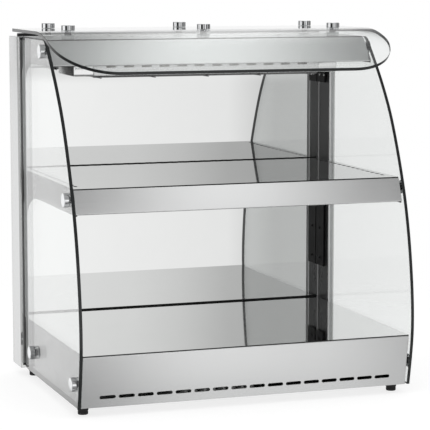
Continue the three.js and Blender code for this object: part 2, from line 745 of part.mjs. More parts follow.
function post(sign) {
  const front = POST_REAR_Y - POST_DEPTH;
  const span = (gap) => [POST_INNER_X + gap, POST_INNER_X + POST_W - gap];
  const outline = (gap, r) => {
    const [x0, x1] = span(gap);
    return roundedRectangle(x0, x1, front + gap, POST_REAR_Y - gap, r);
  };
  const tube = alongZ(outline(0, POST_EDGE_R), BASE_Z, COVER_Z);
  const core = alongZ(
    outline(POST_WALL, POST_EDGE_R / 2),
    BASE_Z - CUT_OVERRUN,
    COVER_Z - POST_WALL,
  );
  const pads = [];
  for (const z of padHeights)
    for (const setback of POST_PAD_SETBACKS)
      pads.push(alongX(
        polygon(circle(MIRROR_Y - setback, z, POST_PAD_R, HOLE_STEPS)),
        POST_INNER_X - padLength,
        POST_INNER_X + POST_WALL / 2,
      ));
  const bore = alongX(
    polygon(circle(HINGE_Y, RAIL_Z, PIN_R + PIN_CLEARANCE, HOLE_STEPS)),
    POST_INNER_X - CUT_OVERRUN,
    POST_INNER_X + POST_WALL + SEAT_GAP,
  );
  const body = cut(join(geometryOf(solid(tube).subtract(solid(core))), ...pads), bore);
  return sign > 0 ? body : mirrored(body);
}

// A left-hand copy of a right-hand piece
function mirrored(geometry) {
  const copy = geometry.clone().scale(-1, 1, 1);
  const index = copy.index.array;
  for (let i = 0; i < index.length; i += 3)
    [index[i + 1], index[i + 2]] = [index[i + 2], index[i + 1]];
  copy.computeVertexNormals();
  return copy;
}
for (const [side, sign] of SIDES) place(`post_${side}`, post(sign), POLISHED);

// Brackets: the side plate of a box, with a fillet down to a tail along the post.
// The box's rear edge may stand further ahead of the mirror than the tail's.
function bracket(sign, bottom, top, filletDepth, filletDrop, foot, rearGap, knobs) {
  const under = top - DECK_UNDER;
  const low = bottom - BRACKET_BELOW_FASCIA;
  const back = SHEET_T + SEAT_GAP;
  const tailRear = MIRROR_Y - DECK_REAR_GAP;
  const tail = MIRROR_Y - BRACKET_TAIL;
  const shape = new THREE.Shape();
  shape.moveTo(fasciaY(bottom) + back, low);
  shape.lineTo(tail - filletDepth, low);
  shape.absellipse(
    tail - filletDepth,
    low - filletDrop,
    filletDepth,
    filletDrop,
    Math.PI / 2,
    0,
    true,
  );
  shape.lineTo(tail, low - filletDrop - foot);
  shape.lineTo(tailRear, low - filletDrop - foot);
  if (rearGap > DECK_REAR_GAP) {
    shape.lineTo(tailRear, low);
    shape.lineTo(MIRROR_Y - rearGap, low);
    shape.lineTo(MIRROR_Y - rearGap, under);
  } else {
    shape.lineTo(tailRear, under);
  }
  shape.lineTo(fasciaY(under) + back, under);
  shape.closePath();
  for (const [, y, z] of knobs) shape.holes.push(hole(y, z, STUD_HOLE_R));
  const inner = PLATE_HALF_W - BRACKET_T;
  return sign > 0
    ? alongX(shape, inner, PLATE_HALF_W, FILLET_STEPS)
    : alongX(shape, -PLATE_HALF_W, -inner, FILLET_STEPS);
}
for (const [side, sign] of SIDES) {
  place(
    `shelf_bracket_${side}`,
    bracket(
      sign,
      SHELF_BOTTOM_Z,
      SHELF_DECK_Z,
      SHELF_FILLET_DEPTH,
      SHELF_FILLET_DROP,
      SHELF_TAIL_FOOT,
      DECK_REAR_GAP,
      shelfKnobs,
    ),
    DARK_STEEL,
  );
  place(
    `top_bracket_${side}`,
    bracket(
      sign,
      TOP_BOTTOM_Z,
      COVER_Z,
      TOP_FILLET_DEPTH,
      TOP_FILLET_DROP,
      TOP_TAIL_FOOT,
      BRACKET_REAR_GAP,
      topKnobs,
    ),
    DARK_STEEL,
  );
}

// Shelf and top boxes: fascia, deck or cover, and underside pan
for (const [name, bottom, top] of [
  ["shelf_fascia", SHELF_BOTTOM_Z, SHELF_DECK_Z],
  ["top_fascia", TOP_BOTTOM_Z, COVER_Z],
])
  place(name, fascia(bottom, top - DECK_UNDER, bottom, BAND_HALF_W), BRUSHED);

function shelfDeck() {
  const shape = deck(SHELF_DECK_Z, MIRROR_Y - DECK_REAR_GAP);
  const sideX = PLATE_HALF_W - DECK_SLOT_INSET;
  const last = fasciaY(SHELF_DECK_Z) + DECK_SIDE_LAST;
  for (const x of [-sideX, sideX])
    for (let y = MIRROR_Y - DECK_SIDE_FIRST; y >= last; y -= DECK_SLOT_PITCH)
      shape.holes.push(slot(x, y, DECK_SLOT_L, DECK_SLOT_W, true));
  const room = 2 * (PLATE_HALF_W - DECK_REAR_MARGIN);
  for (const x of row(fitting(room, DECK_SLOT_L, DECK_SLOT_PITCH), DECK_SLOT_PITCH))
    shape.holes.push(slot(x, MIRROR_Y - DECK_REAR_SETBACK, DECK_SLOT_L, DECK_SLOT_W));
  return alongZ(shape, SHELF_DECK_Z - SHEET_T, SHELF_DECK_Z);
}
place("shelf_deck", shelfDeck(), POLISHED);

function underpan(bottom, top) {
  const z = bottom + SHEET_T + SEAT_GAP;
  const front = behindSkin(z, bottom, top - DECK_UNDER);
  const rear = MIRROR_Y - BRACKET_REAR_GAP;
  return alongZ(rectangle(-BAND_HALF_W, BAND_HALF_W, front, rear), z, z + SHEET_T);
}
place("shelf_underpan", underpan(SHELF_BOTTOM_Z, SHELF_DECK_Z), POLISHED);
place("top_underpan", underpan(TOP_BOTTOM_Z, COVER_Z), POLISHED);

const visorKnobRows = [
  ["rear", MIRROR_Y - VISOR_KNOB_REAR],
  ["front", fasciaY(COVER_Z) + VISOR_KNOB_FRONT],
];

function visorHoles(shape, r) {
  for (const x of [-VISOR_KNOB_X, 0, VISOR_KNOB_X])
    for (const [, y] of visorKnobRows) shape.holes.push(hole(x, y, r));
}

function topCover() {
  const shape = deck(COVER_Z, MIRROR_Y - COVER_REAR_GAP);
  visorHoles(shape, STUD_HOLE_R);
  return alongZ(shape, COVER_Z - SHEET_T, COVER_Z);
}
place("top_cover", topCover(), BRUSHED);

// Heat lamp housing: an open trough between two end caps, lamps and a wire guard
const housingFrontY = fasciaY(COVER_Z) + HOUSING_INSET;
const housingRearY = housingFrontY + HOUSING_DEPTH;

function trough() {
  const z0 = TROUGH_BOTTOM_Z;
  const z1 = TROUGH_TOP_Z;
  const w = HOUSING_WALL;
  const shape = polygon([
    [housingFrontY, z0],
    [housingFrontY + w, z0],
    [housingFrontY + w, z1 - w],
    [housingRearY - w, z1 - w],
    [housingRearY - w, z0],
    [housingRearY, z0],
    [housingRearY, z1],
    [housingFrontY, z1],
  ]);
  const room = 2 * (TROUGH_HALF_W - TROUGH_SLOT_MARGIN);
  const count = fitting(room, TROUGH_SLOT_W, TROUGH_SLOT_PITCH);
  const tools = row(count, TROUGH_SLOT_PITCH).map((x) => alongY(
    new THREE.Shape(
      slot(x, z1 - TROUGH_SLOT_DROP, TROUGH_SLOT_W, TROUGH_SLOT_H).getPoints(),
    ),
    housingFrontY - CUT_OVERRUN,
    housingFrontY + w + CUT_OVERRUN,
  ));
  return cut(alongX(shape, -TROUGH_HALF_W, TROUGH_HALF_W), ...tools);
}
place("lamp_housing", trough(), BRUSHED);

function endCap(sign) {
  const shape = roundedRectangle(
    housingFrontY,
    housingRearY,
    TROUGH_BOTTOM_Z,
    TROUGH_TOP_Z,
    END_CAP_R,
  );
  const x0 = TROUGH_HALF_W + SEAT_GAP;
  const x1 = x0 + END_CAP_L;
  return sign > 0 ? alongX(shape, x0, x1) : alongX(shape, -x1, -x0);
}
for (const [side, sign] of SIDES) place(`lamp_end_cap_${side}`, endCap(sign), BRUSHED);

function quartzLamp() {
  const half = TROUGH_HALF_W;
  const neck = half - LAMP_SOCKET_L;
  return turned(
    [
      [0, -half],
      [LAMP_SOCKET_R, -half],
      [LAMP_SOCKET_R, -neck],
      [LAMP_R, -neck],
      [LAMP_R, neck],
      [LAMP_SOCKET_R, neck],
      [LAMP_SOCKET_R, half],
      [0, half],
    ],
    HOLE_STEPS,
  ).rotateZ(-Math.PI / 2);
}
for (const [i, end] of ["front", "rear"].entries())
  place(`quartz_lamp_${end}`, quartzLamp(), QUARTZ).position.set(
    0,
    housingFrontY + LAMP_SETBACK_SHARES[i] * HOUSING_DEPTH,
    TROUGH_TOP_Z - LAMP_DROP,
  );

// Guard: three long wires under the trough, with cross wires hung below them
function lampGuard() {
  const z = TROUGH_BOTTOM_Z - SEAT_GAP - GUARD_R;
  const wires = [
    housingFrontY + GUARD_EDGE,
    (housingFrontY + housingRearY) / 2,
    housingRearY - GUARD_EDGE,
  ].map((y) => alongX(
    polygon(circle(y, z, GUARD_R, WIRE_SIDES)),
    -TROUGH_HALF_W,
    TROUGH_HALF_W,
  ));
  const pitch = (2 * (TROUGH_HALF_W - GUARD_END)) / (GUARD_BARS - 1);
  for (const x of row(GUARD_BARS, pitch))
    wires.push(alongY(
      polygon(circle(x, z - GUARD_R, GUARD_R, WIRE_SIDES)),
      housingFrontY,
      housingRearY,
    ));
  return join(...wires);
}
place("lamp_guard", lampGuard(), CHROME);

// Mirrored flap: rail with pivot pins, pane and a lip to lift it by
function doorRail() {
  const half = RAIL_T / 2;
  const rise = RAIL_H / 2;
  const body = alongX(
    roundedRectangle(
      HINGE_Y - half,
      HINGE_Y + half,
      RAIL_Z - rise,
      RAIL_Z + rise,
      half / 2,
    ),
    -MIRROR_HALF_W,
    MIRROR_HALF_W,
  );
  const pin = alongX(
    polygon(circle(HINGE_Y, RAIL_Z, PIN_R, HOLE_STEPS)),
    -POST_INNER_X - PIN_REACH,
    POST_INNER_X + PIN_REACH,
  );
  const groove = MIRROR_T / 2 + SEAT_GAP;
  const bottom = RAIL_Z - rise;
  return cut(
    join(body, pin),
    alongX(
      rectangle(
        HINGE_Y - groove,
        HINGE_Y + groove,
        bottom - CUT_OVERRUN,
        bottom + RAIL_GROOVE_DEPTH,
      ),
      -MIRROR_HALF_W - CUT_OVERRUN,
      MIRROR_HALF_W + CUT_OVERRUN,
    ),
  );
}
place("door_rail", doorRail(), BLACK);

const paneTopZ = RAIL_Z - RAIL_H / 2 + RAIL_GROOVE_DEPTH - SEAT_GAP;
place(
  "mirror_pane",
  alongY(
    rectangle(-MIRROR_HALF_W, MIRROR_HALF_W, LOWER_DECK_Z + MIRROR_FOOT_GAP, paneTopZ),
    MIRROR_Y,
    MIRROR_Y + MIRROR_T,
  ),
  MIRROR,
);

function doorHandle() {
  const y = MIRROR_Y + MIRROR_T + SEAT_GAP;
  const z = LOWER_DECK_Z + HANDLE_RISE;
  return alongX(
    polygon([
      [y, z],
      [y + HANDLE_LIP, z],
      [y + HANDLE_LIP, z + HANDLE_T],
      [y + HANDLE_T, z + HANDLE_T],
      [y + HANDLE_T, z + HANDLE_H],
      [y, z + HANDLE_H],
    ]),
    -HANDLE_HALF_W,
    HANDLE_HALF_W,
  );
}
place("door_handle", doorHandle(), BRUSHED);

// Side glass
function sideGlass(sign) {
  const rear = GLASS_REAR_Y;
  const r = GLASS_CORNER_R;
  const points = frontEdge.getPoints(EDGE_STEPS).filter((p) => p.y < GLASS_TOP_Z - r);
  const shape = new THREE.Shape();
  shape.moveTo(rear - r, GLASS_BOTTOM_Z);
  for (const p of points) shape.lineTo(p.x, p.y);
  const corner = frontY(GLASS_TOP_Z);
  shape.quadraticCurveTo(corner, GLASS_TOP_Z, corner + r, GLASS_TOP_Z);
  shape.lineTo(rear - r, GLASS_TOP_Z);
  shape.absarc(rear - r, GLASS_TOP_Z - r, r, Math.PI / 2, 0, true);
  shape.lineTo(rear, GLASS_BOTTOM_Z + r);
  shape.absarc(rear - r, GLASS_BOTTOM_Z + r, r, 0, -Math.PI / 2, true);
  for (const [, y, z] of sideKnobs) shape.holes.push(hole(y, z, GLASS_HOLE_R));
  const outer = GLASS_INNER_X + GLASS_T;
  return sign > 0
    ? alongX(shape, GLASS_INNER_X, outer)
    : alongX(shape, -outer, -GLASS_INNER_X);
}
for (const [side, sign] of SIDES) place(`side_glass_${side}`, sideGlass(sign), CLEAR);

// A standoff bolt along +Y, with its height measured from the seat of its spacer:
// stud, spacer of the given thickness, neck through the glass, and a head.
function standoff(spacerR, spacerT, headH) {
  const glassIn = spacerT - SEAT_GAP;
  const glassOut = spacerT + GLASS_T + SEAT_GAP;
  const end = glassOut + headH;
  return turned([
    [0, -STUD_END],
    [STUD_R, -STUD_END],
    [STUD_R, SEAT_GAP],
    [spacerR, SEAT_GAP],
    [spacerR, glassIn],
    [NECK_R, glassIn],
    [NECK_R, glassOut],
    [KNOB_R, glassOut],
    [KNOB_R, end - KNOB_CHAMFER],
    [KNOB_R - KNOB_CHAMFER, end],
    [0, end],
  ]);
}

// The left pane's knobs stop just inside the visor's edge; the right pane has flat heads.
const sideKnobH = VISOR_OVERHANG - SEAT_GAP;
for (const [side, sign] of SIDES)
  for (const [spot, y, z] of sideKnobs) {
    const headH = sign < 0 ? sideKnobH : FLAT_HEAD_H;
    const bolt = standoff(SPACER_R - KNOB_CHAMFER, GLASS_SPACER_T, headH);
    place(`standoff_${spot}_${side}`, bolt.rotateZ((-sign * Math.PI) / 2), CHROME)
      .position.set(sign * PLATE_HALF_W, y, z);
  }

// Visor: flat over the cover, then bent forward and down, with large front corners
function visor() {
  const frontKnobs = Math.min(...visorKnobRows.map(([, y]) => y));
  const flatY = frontKnobs - KNOB_R - VISOR_BEND_GAP;
  const rear = MIRROR_Y - VISOR_REAR_SETBACK;
  const centreZ = VISOR_TOP_Z - VISOR_BEND_R;
  const a = VISOR_BEND_ANGLE;
  const end = (r, tail) => [
    flatY - r * Math.sin(a) - tail * Math.cos(a),
    centreZ + r * Math.cos(a) - tail * Math.sin(a),
  ];
  const shape = new THREE.Shape();
  shape.moveTo(rear, VISOR_TOP_Z);
  shape.absarc(flatY, centreZ, VISOR_BEND_R, Math.PI / 2, Math.PI / 2 + a, false);
  shape.lineTo(...end(VISOR_BEND_R, VISOR_TAIL));
  shape.lineTo(...end(VISOR_BEND_R - VISOR_T, VISOR_TAIL));
  shape.absarc(
    flatY,
    centreZ,
    VISOR_BEND_R - VISOR_T,
    Math.PI / 2 + a,
    Math.PI / 2,
    true,
  );
  shape.lineTo(rear, VISOR_TOP_Z - VISOR_T);
  shape.closePath();
  const bent = alongX(shape, -VISOR_HALF_W, VISOR_HALF_W, FILLET_STEPS);
  const frontTip = Math.min(
    end(VISOR_BEND_R, VISOR_TAIL)[0],
    end(VISOR_BEND_R - VISOR_T, VISOR_TAIL)[0],
  );
  const w = VISOR_HALF_W;
  const r = VISOR_CORNER_R;
  const plan = new THREE.Shape();
  plan.moveTo(w + CUT_OVERRUN, rear + CUT_OVERRUN);
  plan.lineTo(-w - CUT_OVERRUN, rear + CUT_OVERRUN);
  plan.lineTo(-w - CUT_OVERRUN, frontTip + r);
  plan.lineTo(-w, frontTip + r);
  plan.absarc(-w + r, frontTip + r, r, Math.PI, (3 * Math.PI) / 2, false);
  plan.absarc(w - r, frontTip + r, r, (3 * Math.PI) / 2, 2 * Math.PI, false);
  plan.lineTo(w + CUT_OVERRUN, frontTip + r);
  plan.closePath();
  visorHoles(plan, GLASS_HOLE_R);
  const drop = VISOR_BEND_R + VISOR_TAIL;
  const prismBody = alongZ(
    plan,
    VISOR_TOP_Z - drop,
    VISOR_TOP_Z + CUT_OVERRUN,
    VISOR_CORNER_STEPS,
  );
  return geometryOf(solid(bent).intersect(solid(prismBody)));
}
place("visor", visor(), CLEAR);

for (const [end, y] of visorKnobRows)
  for (const [side, sign] of [["left", -1], ["middle", 0], ["right", 1]]) {
    const bolt = standoff(SPACER_R, VISOR_LIFT, KNOB_H).rotateX(Math.PI / 2);
    place(`visor_standoff_${end}_${side}`, bolt, CHROME)
      .position.set(sign * VISOR_KNOB_X, y, COVER_Z);
  }

export default counter;
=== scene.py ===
"""Looks of a two-tier heated food counter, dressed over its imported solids.

X runs along the counter, the customer stands at -Y and the operator at +Y, Z is up, in metres.
Every shape is worked out as whole arrays, and each maker's docstring gives its formula in words.
"""

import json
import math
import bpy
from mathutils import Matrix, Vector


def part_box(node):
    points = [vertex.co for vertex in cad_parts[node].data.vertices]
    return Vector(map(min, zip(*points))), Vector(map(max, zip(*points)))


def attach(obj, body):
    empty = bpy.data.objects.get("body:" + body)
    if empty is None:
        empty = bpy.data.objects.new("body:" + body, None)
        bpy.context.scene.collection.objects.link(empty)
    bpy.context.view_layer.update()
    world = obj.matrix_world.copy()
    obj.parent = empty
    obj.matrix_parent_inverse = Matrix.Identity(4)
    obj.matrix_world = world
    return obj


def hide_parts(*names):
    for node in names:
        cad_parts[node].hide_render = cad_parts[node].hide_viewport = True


bl_info = {
    "name": "Heated Food Counter",
    "version": (1, 0, 0),
    "blender": (4, 5, 0),
    "location": "View3D > Sidebar > Food Counter",
    "description": "Dresses a two-tier heated food counter in brushed steel, glass and mirror",
    "category": "Object",
}

import bmesh
import bpy
import numpy as np
from bpy.props import FloatProperty, FloatVectorProperty, IntProperty
from mathutils import Vector
from mathutils.geometry import tessellate_polygon

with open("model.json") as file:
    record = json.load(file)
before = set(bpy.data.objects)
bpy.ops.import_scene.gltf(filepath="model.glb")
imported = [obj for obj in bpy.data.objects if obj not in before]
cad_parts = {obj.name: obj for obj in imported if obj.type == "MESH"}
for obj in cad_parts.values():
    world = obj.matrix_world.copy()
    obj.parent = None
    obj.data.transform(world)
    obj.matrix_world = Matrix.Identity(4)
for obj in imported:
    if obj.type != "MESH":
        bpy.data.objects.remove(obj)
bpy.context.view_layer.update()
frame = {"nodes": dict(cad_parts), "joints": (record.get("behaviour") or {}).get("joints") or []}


def box(node):
    """Lowest x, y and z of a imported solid, then its highest."""
    low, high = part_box(node)
    return (*low, *high)


def middle_of(node):
    """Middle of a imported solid's box."""
    low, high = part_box(node)
    return (np.array(low) + np.array(high)) / 2


def joint_place(name):
    """Point on the axis of a packed joint."""
    return next(joint["pos_m"] for joint in frame["joints"] if joint["name"] == name)


SIDES = (("left", -1), ("right", 1))
SIDE_SPOTS = ("base_rear", "base_front", "shelf", "top")
VISOR_SPOTS = [(end, side) for end in ("rear", "front") for side in ("left", "middle", "right")]
_, PANE_FRONT, PANE_FOOT, _, PANE_REAR, PANE_TOP = box("side_glass_right")
PLATE_HALF = box("base_side_right")[3]
MIRROR_FRONT = box("mirror_pane")[1]
COVER_TOP = box("top_cover")[5]
PANEL_FACE = box("rear_panel")[4]
FASCIA_SETBACK = 0.0045  # front of a fascia behind the edge of the side pane
BOLT_HOLE = 0.0036


# Sizes and colours that a user would change


def length(name, description, default):
    """A property for a length."""
    return FloatProperty(name=name, description=description, default=default, unit="LENGTH")


def degrees(name, description, default):
    """A property for an angle, with its default in degrees."""
    default = math.radians(default)
    return FloatProperty(name=name, description=description, default=default, subtype="ANGLE")


def slots(name, *default):
    """A property for the length, width and pitch of a row of air slots."""
    return FloatVectorProperty(
        name=name, description="Length, width and pitch", default=default, unit="LENGTH", size=3
    )


def colour(name, description, *default):
    """A property for a colour."""
    return FloatVectorProperty(
        name=name, description=description, default=default, subtype="COLOR", size=3
    )


class SheetSizes(bpy.types.PropertyGroup):
    arris: length("Arris", "Width of the broken edge of cut sheet", 0.0003)
    fold_radius: length("Fold radius", "Outer radius of a folded edge", 0.0018)
    flange: length("Flange", "Returned edge of a fascia", 0.01275)
    sheet: length("Sheet", "Thickness of pans, decks and fascias", 0.0015)
    apron_slots: slots("Apron slots", 0.029, 0.0062, 0.0347)
    apron_rise: length("Apron slot rise", "Slots above the lower edge of the apron", 0.0182)
    deck_slots: slots("Shelf deck slots", 0.014, 0.006, 0.0225)
    lamp_slots: slots("Lamp housing slots", 0.019, 0.0036, 0.034)


class GlassSizes(bpy.types.PropertyGroup):
    lean: length("Lean", "How far the belly of the front edge lies ahead of its top", 0.2228)
    corner: length("Corner", "Radius of the corners of the side panes", 0.009)
    arris: length("Arris", "Width of the ground edge of a pane", 0.0006)
    hole: length("Hole radius", "Radius of the holes for the standoff bolts", 0.006)
    bend_radius: length("Bend radius", "Outer radius of the visor's bend", 0.26)
    bend_angle: degrees("Bend angle", "How far the visor turns down", 26)
    bend_tail: length("Bend tail", "Straight part of the visor past its bend", 0.089)
    visor_corner: length("Visor corner", "Radius of the visor's front corners in plan", 0.106)


class Colours(bpy.types.PropertyGroup):
    brushed: colour("Brushed steel", "Reflected by the brushed fascias", 0.74, 0.745, 0.745)
    polished: colour("Polished steel", "Reflected by the decks", 0.70, 0.705, 0.70)
    # The post front is a darker copy of the post's steel: its polish is real, its lower brightness
    # is painted shade.
    post_front_shaded: colour("Post front", "Reflected by the narrow front of a post", 0.6, 0.605, 0.6)
    # Black on the brackets and base sides is a painted reflection: it stands in for polished steel
    # that mirrors a dark room.
    dark_reflection: colour("Black powder coat", "Brackets and base sides", 0.012, 0.012, 0.013)
    # The dark strip on the inner face of a post is painted shade.
    inner_shade: colour("Post liner", "Strip on the inner face of a post", 0.072, 0.073, 0.074)
    chrome: colour("Chrome", "Reflected by the bolts", 0.84, 0.85, 0.86)
    washer: colour("Clear washer", "Seats between glass and steel", 0.62, 0.63, 0.63)
    glass: colour("Glass", "Light that passes one face of a pane", 0.985, 0.993, 0.99)
    glass_edge: colour("Glass edge", "Dark ground edge of a pane", 0.006, 0.008, 0.008)
    mirror: colour("Mirror", "Reflected by the mirrored pane", 0.78, 0.785, 0.78)
    rubber: colour("Rubber", "Feet and seals", 0.014, 0.014, 0.014)
    plastic: colour("Black plastic", "Dials, switches and gland", 0.018, 0.018, 0.019)
    ceramic: colour("Ceramic", "Lamp sockets", 0.74, 0.72, 0.68)
    print_white: colour("Print", "Scale and pointer marks", 0.75, 0.75, 0.74)


class StudioValues(bpy.types.PropertyGroup):
    lens: FloatProperty(name="Lens", description="Focal length in millimetres", default=162.3)
    camera_yaw: degrees("Camera yaw", "How far the camera stands left of the front", 19.31)
    camera_pitch: degrees("Camera pitch", "How far the camera looks down", 7.28)
    camera_place: FloatVectorProperty(
        name="Camera place",
        description="Where the camera stands",
        default=(-1.176, -3.389, 0.776),
        subtype="TRANSLATION",
        size=3,
    )
    floor_radius: length("Floor radius", "Radius of the floor, which fades towards its rim", 1.3)
    room_light: FloatProperty(
        name="Room light", description="Strength of the light on matt surfaces", default=0.8
    )
    lamp_power: FloatProperty(
        name="Lamp power", description="Power of the soft lamp in watts", default=14.0
    )
    round_steps: IntProperty(
        name="Round steps", description="Facets around a bolt", default=48
    )


# Outlines and paths


def unit(vectors):
    """Each vector divided by its length."""
    return vectors / np.linalg.norm(vectors, axis=-1, keepdims=True)


def full_turn(steps):
    """Angles of even steps around a circle."""
    return np.linspace(0, 2 * math.pi, steps, endpoint=False)


def rounded(points, radius, steps=6, closed=True):
    """A polyline with arcs for corners. Each arc touches both sides of its corner at the
    distance radius / tan(half the corner's angle), and turns about the point at
    radius / sin(half the angle) on the bisector. The radius may differ from corner to corner."""
    points = np.asarray(points, float)
    before, here, after = np.roll(points, 1, axis=0), points, np.roll(points, -1, axis=0)
    if not closed:
        before, here, after = points[:-2], points[1:-1], points[2:]
    radius = np.broadcast_to(np.asarray(radius, float), (len(here),))[:, None]
    back = unit(before - here)
    ahead = unit(after - here)
    half = np.arccos(np.clip((back * ahead).sum(1), -1, 1))[:, None] / 2
    centre = here + unit(back + ahead) * radius / np.sin(half)
    start = here + back * radius / np.tan(half) - centre
    end = here + ahead * radius / np.tan(half) - centre
    turn = (math.pi - 2 * half)[:, :, None]
    share = np.linspace(0, 1, steps + 1)[None, :, None]
    arcs = np.sin((1 - share) * turn) * start[:, None] + np.sin(share * turn) * end[:, None]
    arcs = (centre[:, None] + arcs / np.sin(turn)).reshape(-1, points.shape[1])
    return arcs if closed else np.vstack([points[:1], arcs, points[-1:]])


def rectangle(u0, u1, v0, v1):
    """Four corners, anticlockwise."""
    return np.array([[u0, v0], [u1, v0], [u1, v1], [u0, v1]])


def soft_rectangle(u0, u1, v0, v1, radius, steps=6):
    """A rectangle whose corners are quarter circles."""
    return rounded(rectangle(u0, u1, v0, v1), radius, steps)


def soft_about(u, v, half_u, half_v, radius, steps):
    """A soft rectangle about (u, v)."""
    return soft_rectangle(u - half_u, u + half_u, v - half_v, v + half_v, radius, steps)


def round_hole(u, v, radius, steps=32):
    """Points of a circle about (u, v)."""
    angle = full_turn(steps)
    return np.stack([u + radius * np.cos(angle), v + radius * np.sin(angle)], 1)


def quarter(u, v, radius, start, steps=8):
    """Points of a quarter circle about (u, v), clockwise from an angle."""
    angle = np.linspace(start, start - math.pi / 2, steps + 1)
    return np.stack([u + radius * np.cos(angle), v + radius * np.sin(angle)], 1)


def slot_hole(u, v, length, width, upright=False):
    """A slot with round ends: a circle of the slot's width, its two halves moved apart by
    the length less the width."""
    angle = (np.arange(14) + 0.5) * math.pi / 7
    along = np.sign(np.cos(angle)) * (length - width) / 2 + np.cos(angle) * width / 2
    across = np.sin(angle) * width / 2
    if upright:
        along, across = across, along
    return np.stack([u + along, v + across], 1)


def even_row(count, pitch):
    """Places of count pieces, pitch apart, about zero."""
    return (np.arange(count) - (count - 1) / 2) * pitch


def slot_row(v, room, sizes):
    """As many slots as a room holds, in a row at v. sizes gives their length, width and pitch."""
    length, width, pitch = sizes
    count = math.floor((room - length) / pitch + 1e-6) + 1
    return [slot_hole(u, v, length, width) for u in even_row(count, pitch)]


def path_lengths(path):
    """Distance along a path at each of its points."""
    return np.concatenate([[0], np.cumsum(np.linalg.norm(np.diff(path, axis=0), axis=1))])


# Stations of the side pane's front edge: share of its height, share of its lean
FRONT_EDGE_SHARES = np.array([
    [0, 0.073],
    [0.172, 0],
    [0.363, 0.051],
    [0.554, 0.19],
    [0.745, 0.428],
    [0.872, 0.671],
    [1, 1],
])


def front_edge(lean, count=400):
    """(y, z) points of the side pane's front edge: a cubic on each span between stations,
    whose end slopes are half the distance between the stations next to it."""
    depth = PANE_FRONT + FRONT_EDGE_SHARES[:, 1] * lean
    height = PANE_FOOT + FRONT_EDGE_SHARES[:, 0] * (PANE_TOP - PANE_FOOT)
    stations = np.stack([depth, height], 1)
    padded = np.vstack([stations[:1], stations, stations[-1:]])
    place = np.linspace(0, len(stations) - 1, count)
    span = np.minimum(place.astype(int), len(stations) - 2)
    s = (place - span)[:, None]
    p0, p1, p2, p3 = (padded[span + k] for k in range(4))
    slope0 = (p2 - p0) / 2
    slope1 = (p3 - p1) / 2
    cube = 2 * p1 - 2 * p2 + slope0 + slope1
    square = -3 * p1 + 3 * p2 - 2 * slope0 - slope1
    return cube * s**3 + square * s**2 + slope0 * s + p1


EDGE_LINE = front_edge(GlassSizes.__annotations__["lean"].keywords["default"])


def fascia_y(z):
    """Front of a fascia at a height."""
    return float(np.interp(z, EDGE_LINE[:, 1], EDGE_LINE[:, 0])) + FASCIA_SETBACK


# Shapes: arrays of points, quads and triangles, with the number of the finish of each face


class Shape:
    """Points, quads and triangles, which join other shapes by addition."""

    def __init__(self, points, quads=None, triangles=None, finish=0):
        self.points = np.asarray(points, float).reshape(-1, 3)
        self.quads = np.zeros((0, 4), int) if quads is None else quads
        self.triangles = np.zeros((0, 3), int) if triangles is None else triangles
        self.quad_finish = np.broadcast_to(finish, (len(self.quads),)).copy()
        self.triangle_finish = np.broadcast_to(finish, (len(self.triangles),)).copy()

    def __add__(self, other):
        both = Shape(
            np.vstack([self.points, other.points]),
            np.vstack([self.quads, other.quads + len(self.points)]),
            np.vstack([self.triangles, other.triangles + len(self.points)]),
        )
        both.quad_finish = np.concatenate([self.quad_finish, other.quad_finish])
        both.triangle_finish = np.concatenate([self.triangle_finish, other.triangle_finish])
        return both

    def placed(self, place):
        """The same faces on points that place(u, v, w) gives, as an array of three columns."""
        self.points = place(*self.points.T)
        return self

    def quad_depths(self):
        """The second coordinate of the middle of each quad."""
        return self.points[self.quads, 1].mean(1)

    def mesh(self, name):
        """A mesh of the shape, its doubled points joined and its faces turned outwards."""
        made = bpy.data.meshes.new(name)
        faces = self.quads.tolist() + self.triangles.tolist()
        made.from_pydata(self.points.tolist(), [], faces)
        finish = np.concatenate([self.quad_finish, self.triangle_finish])
        made.polygons.foreach_set("material_index", finish.astype(np.int32))
        body = bmesh.new()
        body.from_mesh(made)
        bmesh.ops.remove_doubles(body, verts=body.verts, dist=1e-7)
        bmesh.ops.dissolve_degenerate(body, edges=body.edges, dist=1e-7)
        bmesh.ops.recalc_face_normals(body, faces=body.faces)
        body.to_mesh(made)
        body.free()
        return made


def together(shapes):
    """All shapes as one."""
    return sum(shapes[1:], shapes[0])


def loft(rings, finish=0, ring=False):
    """A skin through rings of points, given as (rings, points, 3). Quads join each ring to
    the next, and a fan to its mean point closes each end, or the last ring joins the first."""
    rings = np.asarray(rings, float)
    count, around, _ = rings.shape
    index = np.arange(count * around).reshape(count, around)
    start = index if ring else index[:-1]
    end = np.roll(index, -1, axis=0) if ring else index[1:]
    quads = np.stack([start, np.roll(start, -1, axis=1), np.roll(end, -1, axis=1), end], -1)
    quads = quads.reshape(-1, 4)
    points = rings.reshape(-1, 3)
    if ring:
        return Shape(points, quads, None, finish)
    middles = np.stack([rings[0].mean(0), rings[-1].mean(0)])
    first = np.stack([index[0], np.roll(index[0], -1), np.full(around, count * around)], 1)
    last = np.stack([np.roll(index[-1], -1), index[-1], np.full(around, count * around + 1)], 1)
    return Shape(np.vstack([points, middles]), quads, np.vstack([first, last]), finish)


def turned(profile, centre, axis, steps=48, finish=0, ring=False, wave=None):
    """A lathe shape. Each (radius, height) pair of the profile draws a circle about the axis,
    at that height from the centre. A wave multiplies the radius at each angle."""
    profile = np.asarray(profile, float)
    axis = unit(np.asarray(axis, float))
    helper = np.array([0, 0, 1.0]) if abs(axis[2]) < 0.9 else np.array([1.0, 0, 0])
    across = unit(np.cross(helper, axis))
    up = np.cross(axis, across)
    angle = full_turn(steps)
    radius = np.repeat(profile[:, :1], steps, axis=1)
    if wave is not None:
        radius = radius * wave(angle, np.arange(len(profile))[:, None])
    spread = np.cos(angle)[:, None] * across + np.sin(angle)[:, None] * up
    rings = np.asarray(centre) + profile[:, 1, None, None] * axis + radius[:, :, None] * spread
    return loft(rings, finish, ring)


